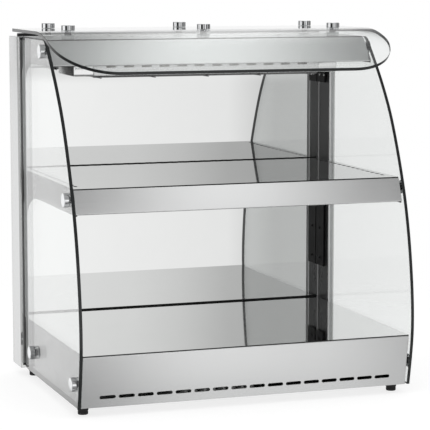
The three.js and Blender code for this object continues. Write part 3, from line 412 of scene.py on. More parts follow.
def ribs(count, depth, first, last):
    """A wave of ribs about a turned piece, on its rows from first to last: the radius falls by
    the depth at each rib, by the square of a raised cosine of the angle."""
    def wave(angle, rows):
        ribbed = 1 - depth * (0.5 + 0.5 * np.cos(count * angle)) ** 2
        return np.where((rows >= first) & (rows <= last), ribbed, 1.0)
    return wave


def tube(path, radius, sides=12, up=(0, 0, 1), finish=0):
    """A round wire. At each point of the path stands a circle square to the path, whose two
    axes are the path's direction crossed with up, and that crossed with the direction."""
    path = np.asarray(path, float)
    ahead = unit(np.gradient(path, axis=0))
    across = unit(np.cross(ahead, np.asarray(up, float)))
    lift = np.cross(across, ahead)
    angle = full_turn(sides)[None, :, None]
    spread = np.cos(angle) * across[:, None] + np.sin(angle) * lift[:, None]
    return loft(path[:, None] + radius * spread, finish)


def winding(loop):
    """Twice the area of a loop, positive where it runs anticlockwise."""
    after = np.roll(loop, -1, axis=0)
    return float((loop[:, 0] * after[:, 1] - after[:, 0] * loop[:, 1]).sum())


def drawn_in(loop, distance):
    """A loop with each point moved to its left along the bisector of its two sides, so that
    each side moves by the distance."""
    ahead = unit(np.roll(loop, -1, axis=0) - loop)
    back = np.roll(ahead, 1, axis=0)
    left_ahead = np.stack([-ahead[:, 1], ahead[:, 0]], 1)
    left_back = np.stack([-back[:, 1], back[:, 0]], 1)
    scale = 1 + (left_ahead * left_back).sum(1, keepdims=True)
    return loop + distance * (left_ahead + left_back) / np.maximum(scale, 0.3)


def plate(loops, thickness, arris=0.0003, front=0, edge=0, back=0):
    """A flat sheet from w = 0 to w = thickness. loops[0] is its outline in u and v, and the
    others are holes. Each rim has four rings of points: the loop drawn in by the arris at
    both faces, and the loop itself an arris inside them. The faces are filled flat."""
    loops = [np.asarray(loop, float) for loop in loops]
    loops = [
        loop if (winding(loop) > 0) == (number == 0) else loop[::-1]
        for number, loop in enumerate(loops)
    ]
    outer = np.vstack(loops)
    inner = np.vstack([drawn_in(loop, arris) for loop in loops])
    heights = (0.0, arris, thickness - arris, thickness)
    layers = [
        np.column_stack([flat, np.full(len(flat), height)])
        for flat, height in zip((inner, outer, outer, inner), heights)
    ]
    total = len(outer)
    ends = np.cumsum([len(loop) for loop in loops])
    walls = []
    for end, loop in zip(ends, loops):
        start = end - len(loop)
        here = start + np.arange(len(loop))
        after = start + (np.arange(len(loop)) + 1) % len(loop)
        for low in (0, total, 2 * total):
            high = low + total
            walls.append(np.stack([low + here, low + after, high + after, high + here], 1))
    flats = [[Vector((u, v, 0.0)) for u, v in part] for part in np.split(inner, ends[:-1])]
    fill = np.array(tessellate_polygon(flats), int)
    triangles = np.vstack([fill[:, ::-1], fill + 3 * total])
    shape = Shape(np.vstack(layers), np.vstack(walls), triangles, edge)
    shape.triangle_finish[:len(fill)] = front
    shape.triangle_finish[len(fill):] = back
    return shape


def slab(axis, start, end, loops, arris=0.0003, front=0, edge=0, back=0):
    """A plate square to an axis, from start to end on it. Its loops are drawn in the other two
    axes, in their order."""
    columns = [0, 1]
    columns.insert("xyz".index(axis), 2)
    flat = plate(loops, end - start, arris, front, edge, back)
    flat.points = (flat.points + (0, 0, start))[:, columns]
    return flat


def cut_at(shape, stations):
    """The same shape with an edge wherever its second coordinate passes a station, so that it
    can be bent there."""
    made = shape.mesh("sheet before bending")
    body = bmesh.new()
    body.from_mesh(made)
    for station in stations:
        bmesh.ops.bisect_plane(
            body,
            geom=[*body.verts, *body.edges, *body.faces],
            dist=1e-7,
            plane_co=(0, station, 0),
            plane_no=(0, 1, 0),
        )
    bmesh.ops.triangulate(body, faces=body.faces[:])
    body.to_mesh(made)
    body.free()
    points = np.zeros(len(made.vertices) * 3)
    made.vertices.foreach_get("co", points)
    triangles = np.zeros(len(made.loops), np.int32)
    made.loops.foreach_get("vertex_index", triangles)
    finish = np.zeros(len(made.polygons), np.int32)
    made.polygons.foreach_get("material_index", finish)
    bpy.data.meshes.remove(made)
    cut = Shape(points, None, triangles.reshape(-1, 3).astype(int))
    cut.triangle_finish = finish
    return cut


def folded(path, outline, holes, thickness, arris):
    """A sheet folded along a path in the Y-Z plane, on its right. Its outline and holes are
    drawn flat, u along X and v along the path. A point goes to the path's point at v, plus w
    times the path's normal, which is mitred at each corner."""
    measure = path_lengths(path)
    ahead = unit(np.diff(path, axis=0))
    normal = np.stack([ahead[:, 1], -ahead[:, 0]], 1)
    inner = (normal[:-1] + normal[1:]) / (1 + (normal[:-1] * normal[1:]).sum(1))[:, None]
    normal = np.vstack([normal[:1], inner, normal[-1:]])

    def place(u, v, w):
        y, z = (np.interp(v, measure, path[:, k]) for k in (0, 1))
        ny, nz = (np.interp(v, measure, normal[:, k]) for k in (0, 1))
        return np.stack([u, y + w * ny, z + w * nz], 1)

    flat = plate([outline, *holes], thickness, arris, edge=1)
    return cut_at(flat, measure[1:-1]).placed(place)


def button_screw(centre, axis, radius, finish=0):
    """A domed screw head with a six-sided socket: rings at falling radius over a dome, then
    down a socket whose radius at each angle is that of a hexagon."""
    def wave(angle, rows):
        hexagon = math.cos(math.pi / 6) / np.cos((angle % (math.pi / 3)) - math.pi / 6)
        return np.where(rows >= 5, hexagon, 1.0)

    profile = radius * np.array([
        (1, 0), (1, 0.12), (0.93, 0.3), (0.75, 0.46), (0.55, 0.54), (0.46, 0.54), (0.4, 0.2),
    ])
    return turned(profile, centre, axis, 24, finish, wave=wave)


# Finishes


def add_node(tree, kind, inputs=(), **settings):
    """Adds a shader node. Each input, by its name or number, takes a value or the output that
    feeds it."""
    node = tree.nodes.new("ShaderNode" + kind)
    for key, value in settings.items():
        setattr(node, key, value)
    for key, value in dict(inputs).items():
        if isinstance(value, bpy.types.NodeSocket):
            tree.links.new(value, node.inputs[key])
        else:
            node.inputs[key].default_value = value
    return node


def maths(tree, operation, *values):
    """A number worked out from others."""
    return add_node(tree, "Math", enumerate(values), operation=operation).outputs[0]


def ramped(tree, value, start, end, low=0.0, high=1.0, kind="LINEAR"):
    """A number that runs from low to high as a value runs from start to end."""
    inputs = {"Value": value, "From Min": start, "From Max": end, "To Min": low, "To Max": high}
    return add_node(tree, "MapRange", inputs, interpolation_type=kind).outputs["Result"]


def blend(tree, kind, factor, first, second):
    """A mix of two numbers (FLOAT) or colours (RGBA)."""
    start, result = (2, 0) if kind == "FLOAT" else (6, 2)
    inputs = {0: factor, start: first, start + 1: second}
    return add_node(tree, "Mix", inputs, data_type=kind).outputs[result]


def grain_noise(tree, stretch, detail=3.0):
    """Noise read at object coordinates that are stretched by a factor on each axis."""
    place = add_node(tree, "TexCoord").outputs["Object"]
    scaled = add_node(tree, "Mapping", {"Vector": place, "Scale": stretch}).outputs["Vector"]
    inputs = {"Vector": scaled, "Scale": 1.0, "Detail": detail, "Roughness": 0.6}
    return add_node(tree, "TexNoise", inputs).outputs["Fac"]


def spread_about(tree, noise, value):
    """A number that runs with the noise from 15 percent below a value to 15 percent above."""
    return ramped(tree, noise, 0.25, 0.75, value * 0.85, value * 1.15)


def tinted(tree, noise, colour, spread):
    """A colour whose brightness runs with the noise from less to more by the spread."""
    dark = (*(np.array(colour) * (1 - spread)), 1)
    light = (*np.minimum(np.array(colour) * (1 + spread), 1), 1)
    return blend(tree, "RGBA", ramped(tree, noise, 0.25, 0.75), dark, light)


def relief(tree, height, strength):
    """A bump from a height."""
    inputs = {"Height": height, "Strength": strength, "Distance": 0.0002}
    return add_node(tree, "Bump", inputs).outputs["Normal"]


def emptied_tree(name):
    """The emptied node tree of the material of that name."""
    material = bpy.data.materials.get(name) or bpy.data.materials.new(name)
    material.use_nodes = True
    material.node_tree.nodes.clear()
    return material.node_tree


def finish_with(tree, shader, kind="OutputMaterial"):
    """Ends a tree with a shader."""
    add_node(tree, kind, {"Surface": shader.outputs[0]})


def metal(name, colour, roughness, grain, spread=0.05, anisotropy=0.0, axis=(1, 0, 0), bump=0.03):
    """Bare metal with a fine grain. Its noise is stretched along the grain, and sets how bright
    and how rough each streak is. The highlight spreads across the grain."""
    tree = emptied_tree(name)
    streaks = grain_noise(tree, grain)
    clouds = grain_noise(tree, (9, 9, 9), 2.0)
    half = maths(tree, "MULTIPLY", maths(tree, "ADD", streaks, clouds), 0.5)
    inputs = {
        "Metallic": 1.0,
        "Base Color": tinted(tree, half, colour, spread),
        "Roughness": spread_about(tree, half, roughness),
    }
    if bump:
        inputs["Normal"] = relief(tree, streaks, bump)
    if anisotropy:
        along = add_node(tree, "CombineXYZ", enumerate(axis)).outputs["Vector"]
        inputs |= {"Anisotropic": anisotropy, "Anisotropic Rotation": 0.25, "Tangent": along}
    finish_with(tree, add_node(tree, "BsdfPrincipled", inputs))


def matt(name, colour, roughness, grain, spread, bump, metallic=0.0, coat=0.0, gloss=0.5):
    """Paint, rubber, plastic or ceramic: fine grain in the bump, wider clouds in the colour and
    the roughness."""
    tree = emptied_tree(name)
    fine = grain_noise(tree, (grain, grain, grain), 2.0)
    clouds = grain_noise(tree, (22, 22, 22))
    finish_with(tree, add_node(tree, "BsdfPrincipled", {
        "Metallic": metallic,
        "Coat Weight": coat,
        "Specular IOR Level": gloss,
        "Base Color": tinted(tree, clouds, colour, spread),
        "Roughness": spread_about(tree, clouds, roughness),
        "Normal": relief(tree, fine, bump),
    }))


def clear_pane(name, colour, power, gain=1.0, least=0.04, haze=0.0):
    """Clear glass. Light passes straight through with a slight tint, and a share of it is
    mirrored instead: least plus a gain times (1 - cosine of the angle) to a power."""
    tree = emptied_tree(name)
    facing = add_node(tree, "LayerWeight", {"Blend": 0.5}).outputs["Facing"]
    share = maths(tree, "MULTIPLY_ADD", maths(tree, "POWER", facing, power), gain, least)
    tint = tinted(tree, grain_noise(tree, (6, 6, 6)), colour, 0.004)
    through = add_node(tree, "BsdfTransparent", {"Color": tint})
    mirrored = add_node(tree, "BsdfGlossy", {"Color": (1, 1, 1, 1), "Roughness": haze})
    inputs = {0: share, 1: through.outputs[0], 2: mirrored.outputs[0]}
    finish_with(tree, add_node(tree, "MixShader", inputs))


def stained_element(name):
    """Heating tube: dark oxide whose tint runs from straw to blue with a slow noise."""
    tree = emptied_tree(name)
    slow = grain_noise(tree, (14, 14, 14), 2.0)
    tint = add_node(tree, "ValToRGB", {"Fac": slow})
    straw, blue = tint.color_ramp.elements
    straw.position, straw.color = 0.3, (0.075, 0.062, 0.05, 1)
    blue.position, blue.color = 0.7, (0.05, 0.055, 0.07, 1)
    finish_with(tree, add_node(tree, "BsdfPrincipled", {
        "Metallic": 0.8,
        "Base Color": tint.outputs["Color"],
        "Roughness": ramped(tree, slow, 0.25, 0.75, 0.42, 0.58),
    }))


ALONG_X = (9, 1300, 1300)  # stretch of the noise where the grain runs along the counter
ALONG_Z = (1300, 1300, 9)  # and where it runs up the posts


def make_finishes(c):
    """Every finish of the counter."""
    metal("brushed steel", c.brushed, 0.2, ALONG_X, 0.05, 1.0)
    metal("upright brushed steel", c.brushed, 0.2, ALONG_Z, 0.05, 0.9, (0, 0, 1))
    metal("polished steel", c.polished, 0.05, ALONG_X, 0.02, bump=0.0)
    # Painted shade: the post front is darker than the rest of the post's steel.
    metal("post front", c.post_front_shaded, 0.05, ALONG_Z, 0.04, bump=0.0)
    metal("bare edge", c.polished, 0.25, (700, 700, 700), 0.12)
    metal("bright chrome", c.chrome, 0.03, (300, 300, 300), 0.02, bump=0.0)
    metal("silvered mirror", c.mirror, 0.0, (40, 40, 40), 0.01, bump=0.0)
    metal("guard wire", (0.3, 0.3, 0.3), 0.25, (900, 900, 900), 0.1)
    metal("lamp cap", (0.8, 0.8, 0.8), 0.12, (700, 700, 700), 0.04, bump=0.01)
    metal("filament", (0.42, 0.4, 0.38), 0.4, (900, 900, 900), 0.1)
    metal("screw steel", (0.62, 0.62, 0.61), 0.2, (900, 900, 900), 0.08)
    matt("mill steel", (0.5, 0.505, 0.5), 0.4, 700, 0.06, 0.03, metallic=0.25)
    # Dark edge of holes and rims: partly the cut edge's own tone, partly painted shade in the slots
    # and along the deck edges.
    matt("cut edge", (0.02, 0.02, 0.02), 0.5, 900, 0.3, 0.1, metallic=0.6)
    # Painted reflection: black for side plates of polished steel that mirror a dark room.
    matt("black powder coat", c.dark_reflection, 0.42, 1400, 0.15, 0.08, gloss=0.12)
    # Painted shade on the inner face of a post.
    matt("post liner", c.inner_shade, 0.3, 1400, 0.08, 0.05)
    matt("clear washer", c.washer, 0.22, 500, 0.05, 0.02, coat=0.4)
    matt("glass edge", c.glass_edge, 0.14, 1500, 0.3, 0.03)
    matt("ground edge", (0.55, 0.56, 0.56), 0.35, 1500, 0.1, 0.05)
    matt("mirror back", (0.16, 0.165, 0.17), 0.5, 600, 0.1, 0.06)
    matt("black anodised", (0.005, 0.005, 0.005), 0.5, 900, 0.2, 0.04)
    matt("black rubber", c.rubber, 0.72, 700, 0.25, 0.25)
    matt("black plastic", c.plastic, 0.42, 1100, 0.2, 0.18)
    matt("gloss plastic", c.plastic, 0.18, 600, 0.15, 0.03, coat=0.3)
    matt("ceramic", c.ceramic, 0.6, 600, 0.08, 0.12)
    matt("print", c.print_white, 0.5, 900, 0.04, 0.02)
    clear_pane("clear glass", c.glass, 5.5, 1.75, 0.03)
    clear_pane("visor glass", c.glass, 5.0)
    clear_pane("quartz tube", (0.97, 0.965, 0.95), 3.0, 0.95, 0.05, 0.03)
    stained_element("oxidised tube")


def finish_named(name):
    """A finish that the first operator has made."""
    material = bpy.data.materials.get(name)
    if material is None:
        raise RuntimeError(f"the finish {name} isn't there yet: make the finishes first")
    return material


SHARP_ANGLE = math.radians(32)  # faces that meet at more than this keep a sharp edge


def add_piece(name, shape, slot, finishes, *nodes, body="chassis"):
    """Makes a mesh object of a shape, with its finishes in the order of their numbers, ties it to a
    body, and hides the solids that it stands for."""
    made = shape.mesh(name)
    for finish in finishes:
        made.materials.append(finish_named(finish))
    made.shade_smooth()
    made.set_sharp_from_angle(angle=SHARP_ANGLE)
    piece = bpy.data.objects.new(name, made)
    bpy.context.scene.collection.objects.link(piece)
    if nodes:
        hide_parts(*nodes)
    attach(piece, body)
    return piece


# Sheet metal


def fascia_shape(bottom, top, skin_half, flange_half, sizes, holes=(), hem=True):
    """A fascia: a straight skin between two heights of the curved front line, folded back at
    its top and, with a hem, at its bottom. The flanges are narrower than the skin."""
    bottom_y, top_y = fascia_y(bottom), fascia_y(top)
    line = [(bottom_y, bottom), (top_y, top), (top_y + sizes.flange, top)]
    if hem:
        line.insert(0, (bottom_y + sizes.flange, bottom))
    path = rounded(line, sizes.fold_radius, 6, closed=False)
    lengths = path_lengths(path)
    upper, total = lengths[-2:]
    lower = lengths[1] if hem else 0.0
    right = [(skin_half, lower), (skin_half, upper), (flange_half, upper), (flange_half, total)]
    if hem:
        right = [(flange_half, 0.0), (flange_half, lower), *right]
    outline = np.array(right + [(-u, v) for u, v in reversed(right)])
    return folded(path, outline, holes, sizes.sheet, sizes.arris)


def apron_shape(sizes):
    """The front apron, with a row of air slots near its foot."""
    x0, _, z0, x1, _, z1 = box("front_apron")
    lean = math.hypot(1, (fascia_y(z1) - fascia_y(z0)) / (z1 - z0))
    holes = slot_row(sizes.apron_rise * lean, x1 - x0 - 0.06, sizes.apron_slots)
    return fascia_shape(z0, z1, x1, box("base_pan")[3], sizes, holes, hem=False)


def deck_shape(node, holes, sizes):
    """A flat deck or cover with holes, from the box of its solid."""
    x0, y0, z0, x1, y1, z1 = box(node)
    outline = soft_rectangle(x0, x1, y0, y1, 0.0012, 3)
    return slab("z", z0, z1, [outline, *holes], sizes.arris, edge=1)


def shelf_slots(sizes):
    """Rows of slots along both sides and the rear of the shelf deck."""
    long, wide, pitch = sizes.deck_slots
    rearmost = MIRROR_FRONT - 0.034
    foremost = box("shelf_deck")[1] + 0.03
    count = math.floor((rearmost - foremost) / pitch + 1e-6) + 1
    holes = [
        slot_hole(sign * (PLATE_HALF - 0.0145), rearmost - step * pitch, long, wide, upright=True)
        for _, sign in SIDES
        for step in range(count)
    ]
    return holes + slot_row(MIRROR_FRONT - 0.013, 2 * (PLATE_HALF - 0.026), sizes.deck_slots)


def bracket_shape(side, tier, fillet_depth, fillet_drop):
    """A bracket plate with a hole for its standoff's stud: behind the fascia's straight skin in
    front, a quarter ellipse down to the tail, and a straight tail along the post. The top
    tier's box ends ahead of the tail's rear."""
    x0, _, foot, x1, rear, under = box(f"{tier}_bracket_{side}")
    box_rear = box("top_underpan")[4] if tier == "top" else rear
    fascia = box(f"{tier}_fascia")
    bottom, top = fascia[2], fascia[5] + 0.0018
    slope = (fascia_y(top) - fascia_y(bottom)) / (top - bottom)
    front = fascia_y(bottom) + 0.0018 + max(0.0, slope * 0.0015)
    tail = MIRROR_FRONT - 0.04
    edge = bottom - 0.002
    angle = np.linspace(math.pi / 2, 0, 33)
    fillet = np.stack([
        tail - fillet_depth + fillet_depth * np.cos(angle),
        edge - fillet_drop + fillet_drop * np.sin(angle),
    ], 1)
    corners = [[tail, foot], [rear, foot]]
    if box_rear < rear:
        corners += [[rear, edge], [box_rear, edge]]
    corners += [[box_rear, under], [front + slope * (under - bottom), under]]
    outline = np.vstack([[[front, edge]], fillet, corners])
    hole = round_hole(*middle_of(f"standoff_{tier}_{side}")[1:], BOLT_HOLE, 24)
    return slab("x", x0, x1, [outline, hole], 0.0004)


def post_shape(side, sign):
    """A post: a flat bar with rounded edges, a dark strip of painted shade on its inner face, and
    round pads between it and the side plates."""
    x0, y0, z0, x1, y1, z1 = box(f"post_{side}")
    pad_reach = 0.003
    inner, outer = (x0 + pad_reach, x1) if sign > 0 else (x0, x1 - pad_reach)
    bar = slab("z", z0, z1, [soft_rectangle(inner, outer, y0, y1, 0.0012, 5)], 0.0005)
    # The front face takes finish 3, the darker post front: painted shade on its polish.
    bar.quad_finish[bar.quad_depths() < y0 + 0.0006] = 3
    face = inner if sign > 0 else outer
    # A dark strip on the inner face: painted shade.
    inner_shade = soft_rectangle(y0 + 0.0015, y1 - 0.0015, z0 + 0.002, z1 - 0.003, 0.001, 3)
    strip_x = face - 0.0006 if sign > 0 else face - 0.0002
    strip = slab("x", strip_x, strip_x + 0.0008, [inner_shade], 0.0002, 1, 1, 1)
    profile = [(0.007, 0.0), (0.007, pad_reach - 0.0004), (0.0066, pad_reach)]
    pads = [
        turned(profile, (face, MIRROR_FRONT - setback, z), (-sign, 0, 0), 32, 2)
        for z in (0.0645, 0.374, 0.624)
        for setback in (0.0165, 0.038)
    ]
    return together([bar, strip, *pads])


# Glass


def side_pane(side, sizes):
    """A side pane with holes at its four standoffs. It follows the curved front line from the
    foot up to a rounded front corner, then a straight top, and rounded rear corners."""
    r = sizes.corner
    line = front_edge(sizes.lean, 160)
    line = line[line[:, 1] < PANE_TOP - r]
    corner = float(np.interp(PANE_TOP, EDGE_LINE[:, 1], EDGE_LINE[:, 0]))
    t = np.linspace(0, 1, 13)[1:, None]
    tip, end = np.array([corner, PANE_TOP]), np.array([corner + r, PANE_TOP])
    front = (1 - t) ** 2 * line[-1] + 2 * t * (1 - t) * tip + t**2 * end
    upper = quarter(PANE_REAR - r, PANE_TOP - r, r, math.pi / 2)
    lower = quarter(PANE_REAR - r, PANE_FOOT + r, r, 0)
    outline = np.vstack([line, front, upper, lower])
    outline[:, 0] = np.maximum(outline[:, 0], PANE_FRONT)
    spots = [middle_of(f"standoff_{spot}_{side}") for spot in SIDE_SPOTS]
    holes = [round_hole(spot[1], spot[2], sizes.hole) for spot in spots]
    x0, _, _, x1, y1, _ = box(f"side_glass_{side}")
    pane = slab("x", x0, x1, [outline, *holes], sizes.arris, edge=1)
    pane.quad_finish[pane.quad_depths() > y1 - 0.0007] = 2
    return pane


def visor_shape(sizes):
    """The visor: its plan has round front corners, and each point is lowered to the bent line
    at its depth. The line is level, then an arc, then straight along the arc's end."""
    x0, front, _, x1, rear, top = box("visor")
    flat_y = middle_of("visor_standoff_front_middle")[1] - 0.0135
    turn = sizes.bend_angle
    arc = np.linspace(0, turn, 21)
    bend = np.stack([
        flat_y - sizes.bend_radius * np.sin(arc),
        top - sizes.bend_radius * (1 - np.cos(arc)),
    ], 1)
    tip = bend[-1] - sizes.bend_tail * np.array([math.cos(turn), math.sin(turn)])
    line = np.vstack([[[rear, top]], bend, tip])
    r = sizes.visor_corner
    angle = np.linspace(math.pi, 1.5 * math.pi, 33)
    left = np.stack([x0 + r + r * np.cos(angle), front + r + r * np.sin(angle)], 1)
    outline = np.vstack([left, left[::-1] * (-1, 1), [[x1, rear], [x0, rear]]])
    flat = plate([outline, *visor_holes(sizes.hole, 32)], 0.006, sizes.arris, edge=1)
    flat.quad_finish[flat.quad_depths() > rear - 0.0007] = 2
    stations, heights = line[::-1].T
    slope = np.clip((flat_y - stations) / sizes.bend_radius, 0, math.sin(turn))

    def place(u, v, w):
        sine = np.interp(v, stations, slope)
        drop = np.interp(v, stations, heights)
        y = v + w * sine * np.clip((v - front) / 0.02, 0, 1)
        return np.stack([u, y, drop - w * np.sqrt(1 - sine**2)], 1)

    return cut_at(flat, line[1:-1, 0]).placed(place)


def visor_holes(radius, steps):
    """Round holes at the visor's six standoffs."""
    spots = [middle_of(f"visor_standoff_{end}_{side}") for end, side in VISOR_SPOTS]
    return [round_hole(x, y, radius, steps) for x, y, _ in spots]


def standoff_parts(spot, axis, seat, thick, end, steps):
    """Outer parts of a standoff, turned about the axis from its seat on the steel: a stud, a
    clear spacer, a shank through the pane, and a chrome head with a dished end."""
    neck, knob, pane = 0.005, 0.0125, 0.006
    inner = thick - 0.0003
    outer = thick + pane + 0.0003
    stud = [(0.0026, -0.008), (0.003, -0.0076), (0.003, 0.0006)]
    spacer = [
        (0.0032, 0.0003), (seat - 0.0006, 0.0003), (seat, 0.0007), (seat, inner - 0.0003),
        (seat - 0.0004, inner), (0.0032, inner),
    ]
    head = [
        (neck, outer), (knob - 0.0006, outer), (knob, outer + 0.0005), (knob, outer + 0.0006),
        (knob, end - 0.0009), (knob, end - 0.0008), (knob - 0.0003, end - 0.0003),
        (knob - 0.0009, end - 0.0001), (knob - 0.0016, end), (0.004, end - 0.0002),
    ]
    return together([
        turned(stud, spot, axis, 20),
        turned(spacer, spot, axis, steps, 1),
        turned([(neck, inner), (neck, outer)], spot, axis, 32, 1),
        turned(head, spot, axis, steps),
    ])


# Lamp housing


def trough_shape(sizes):
    """The trough of the lamp housing: a sheet folded over the lamps, open downwards, with a row
    of air slots near the top of its front face and short returns at its lower edges."""
    x0, y0, z0, x1, y1, z1 = box("lamp_housing")
    back, radius = 0.006, 0.0018
    line = [(y0 + back, z0), (y0, z0), (y0, z1), (y1, z1), (y1, z0), (y1 - back, z0)]
    path = rounded(line, radius, 5, closed=False)
    rise = back + (z1 - z0) - 0.0055 - radius * (2 - math.pi / 2)
    outline = rectangle(x0, x1, 0.0, path_lengths(path)[-1])
    return folded(path, outline, slot_row(rise, x1 - x0 - 0.03, sizes.lamp_slots), 0.0012, 0.0002)


def end_cap_shape(side):
    """End cap of the lamp housing: a block with round long edges and broken ends."""
    x0, y0, z0, x1, y1, z1 = box(f"lamp_end_cap_{side}")
    return slab("x", x0, x1, [soft_rectangle(y0, y1, z0, z1, 0.004)], 0.0012)


def guard_shape():
    """The lamp guard: three long wires with five cross wires welded under them."""
    x0, y0, _, x1, y1, z1 = box("lamp_guard")
    radius = 0.0015
    z = z1 - radius
    middle = (y0 + y1) / 2
    long_wires = [
        tube([(x0 + 0.0003, y, z), (0, y, z), (x1 - 0.0003, y, z)], radius, 10)
        for y in (y0 + 0.008, middle, y1 - 0.008)
    ]
    cross_wires = [
        tube([(x, y, z - radius) for y in (y0, middle, y1)], radius, 10)
        for x in even_row(5, (x1 - x0 - 0.0264) / 4)
    ]
    return together(long_wires + cross_wires)


def lamp_shape(node):
    """A quartz lamp: a thin tube with sealed waists, ceramic sockets with a groove, and a coiled
    filament, which is a point turning about the lamp's axis as it moves along it."""
    _, y, z = middle_of(node)
    neck = box(node)[3] - 0.014
    half_tube = [(0.0032, -neck), (0.0044, -neck + 0.004), (0.005, -neck + 0.009)]
    glass = half_tube + [(radius, -x) for radius, x in reversed(half_tube)]
    socket = [
        (0.0058, 0.0), (0.0065, 0.0008), (0.0065, 0.0055), (0.0059, 0.006),
        (0.0059, 0.0075), (0.0065, 0.008), (0.0065, 0.0132), (0.0058, 0.014),
    ]
    turns, per_turn, radius = 90, 10, 0.0016
    angle = np.arange(turns * per_turn + 1) * 2 * math.pi / per_turn
    coil = np.stack([
        np.linspace(-neck + 0.02, neck - 0.02, len(angle)),
        y + radius * np.cos(angle),
        z + radius * np.sin(angle),
    ], 1)
    lead = [(0.0005, 0.0), (0.0005, 0.0215)]
    return together([
        turned(glass, (0, y, z), (1, 0, 0), 24),
        *[turned(socket, (end * neck, y, z), (end, 0, 0), 32, 1) for end in (-1, 1)],
        tube(coil, 0.0004, 5, up=(1, 0, 0), finish=2),
        *[turned(lead, (end * (neck - 0.021), y, z), (end, 0, 0), 8, 2) for end in (-1, 1)],
    ])


# Flap


def rail_shape():
    """The flap's rail: a rounded bar with a groove for the pane, and a pin at each end."""
    _, y0, z0, x1, y1, z1 = box("door_rail")
    _, hinge_y, hinge_z = joint_place("flap_hinge")
    half = box("mirror_pane")[3]
    near, far, roof = hinge_y - 0.0028, hinge_y + 0.0028, z0 + 0.008
    outline = rounded(
        [(y0, z0), (near, z0), (near, roof), (far, roof), (far, z0), (y1, z0), (y1, z1), (y0, z1)],
        [0.0012, 0.0004, 0.0004, 0.0004, 0.0004, 0.0012, 0.003, 0.003], 5,
    )
    pin = [(0.003, -0.004), (0.003, x1 - half - 0.0006), (0.0024, x1 - half)]
    return together([
        slab("x", -half, half, [outline], 0.0005),
        *[turned(pin, (end * half, hinge_y, hinge_z), (end, 0, 0), 32, 1) for end in (-1, 1)],
    ])


def handle_shape(sizes):
    """The lip at the foot of the flap: a strip folded to an angle, with rounded ends."""
    x0, y0, z0, x1, y1, z1 = box("door_handle")
    path = rounded([(y1, z0), (y0, z0), (y0, z1)], 0.0016, 6, closed=False)
    flat = rectangle(x0, x1, 0.0, path_lengths(path)[-1])
    outline = rounded(flat, [0.003, 0.003, 0.006, 0.006], 5)
    return folded(path, outline, [], sizes.sheet, sizes.arris)


# Controls


def dial_shape(place):
    """A thermostat dial: a bevelled skirt, a grip whose radius waves about the axis, a dished top
    and a pointer bar with a printed line."""
    x, _, z = place
    skirt, grip, height = 0.016, 0.0115, 0.017
    base = PANEL_FACE + 0.0008
    top = base + height + 0.0014
    profile = [
        (0.0035, 0.0), (skirt - 0.0004, 0.0), (skirt, 0.0005), (skirt - 0.0008, 0.0036),
        (grip + 0.0012, 0.004), (grip, 0.0052), (grip - 0.0001, 0.0106),
        (grip - 0.0002, height - 0.0012), (grip - 0.0011, height - 0.0002),
        (grip - 0.002, height), (0.004, height - 0.0006),
    ]
    bar = soft_rectangle(x - 0.0024, x + 0.0024, z - 0.0055, z + 0.0155, 0.0012, 4)
    line = soft_rectangle(x - 0.0005, x + 0.0005, z + 0.002, z + 0.0148, 0.0004, 2)
    return together([
        turned(profile, (x, base, z), (0, 1, 0), 144, wave=ribs(24, 0.045, 5, 7)),
        slab("y", base + 0.002, top, [bar], 0.0005),
        slab("y", top - 0.00002, top + 0.0001, [line], 0.00003, 1, 1, 1),
    ])


def scale_marks(place):
    """Printed marks about a dial: short bars, each turned about the dial's axis by its share
    of 270 degrees. Every third is longer."""
    marks = []
    for number, turn in enumerate(np.radians(np.linspace(0, 270, 10))):
        u, v = rectangle(-0.0004, 0.0004, 0.018, 0.0202 if number % 3 else 0.0215).T
        spun = np.stack([
            place[0] + u * np.cos(turn) - v * np.sin(turn),
            place[2] + u * np.sin(turn) + v * np.cos(turn),
        ], 1)
        marks.append(slab("y", PANEL_FACE - 0.00001, PANEL_FACE + 0.00009, [spun], 0.00002))
    return together(marks)


def housing_shape(side):
    """A switch housing: a rim with rounded corners, a box behind the panel, and a well for the
    rocker between them."""
    x0, y0, z0, x1, y1, z1 = box(f"switch_housing_{side}")
    x, _, z = middle_of(f"switch_housing_{side}")
    face = y1 - 0.0016
    well = soft_about(x, z, 0.0086, 0.0136, 0.0006, 3)
    block = soft_about(x, z, 0.011, 0.015, 0.0008, 3)
    return together([
        slab("y", face, y1, [soft_rectangle(x0, x1, z0, z1, 0.0015, 5), well], 0.0004),
        slab("y", y0 + 0.003, face - 0.0002, [block, well], 0.0002),
        slab("y", y0, y0 + 0.0029, [block], 0.0002),
    ])


def rocker_shape(side):
    """A rocker: a wedge whose two faces meet over its pivot, turned to its rest about that
    pivot, with a raised bar on one end and a raised ring on the other."""
    x, y, z = joint_place(f"rocker_{side}_tilt")
    tilt = math.radians(8)
    cosine, sine = math.cos(tilt), math.sin(tilt)
    reach, crown, back = 0.013, 0.0016, -0.0026
    end, lift = reach * cosine, reach * sine
    outline = rounded(
        [(back, -end), (lift + crown, -end), (crown, 0.0), (lift + crown, end), (back, end),
         (-reach / 2, 0.0)],
        [0.0003, 0.0007, 0.004, 0.0007, 0.0003, 0.001], 5,
    )

    def mark(loops, sign):
        """A thin plate on one of the rocker's two faces."""
        flat = plate(loops, 0.00015, 0.00004, 1, 1, 1)
        return flat.placed(lambda u, v, w: np.stack([
            u, crown + lift / end * np.abs(v) + w - 0.00002, sign * np.abs(v),
        ], 1))

    whole = together([
        slab("x", -0.008, 0.008, [outline], 0.0004),
        mark([soft_rectangle(-0.0004, 0.0004, 0.0055, 0.0095, 0.0003, 2)], 1),
        mark([round_hole(0, 0.0075, radius, 24) for radius in (0.0022, 0.0015)], -1),
    ])
    return whole.placed(lambda u, v, w: np.stack([
        x + u, y + v * cosine - w * sine, z + v * sine + w * cosine,
    ], 1))


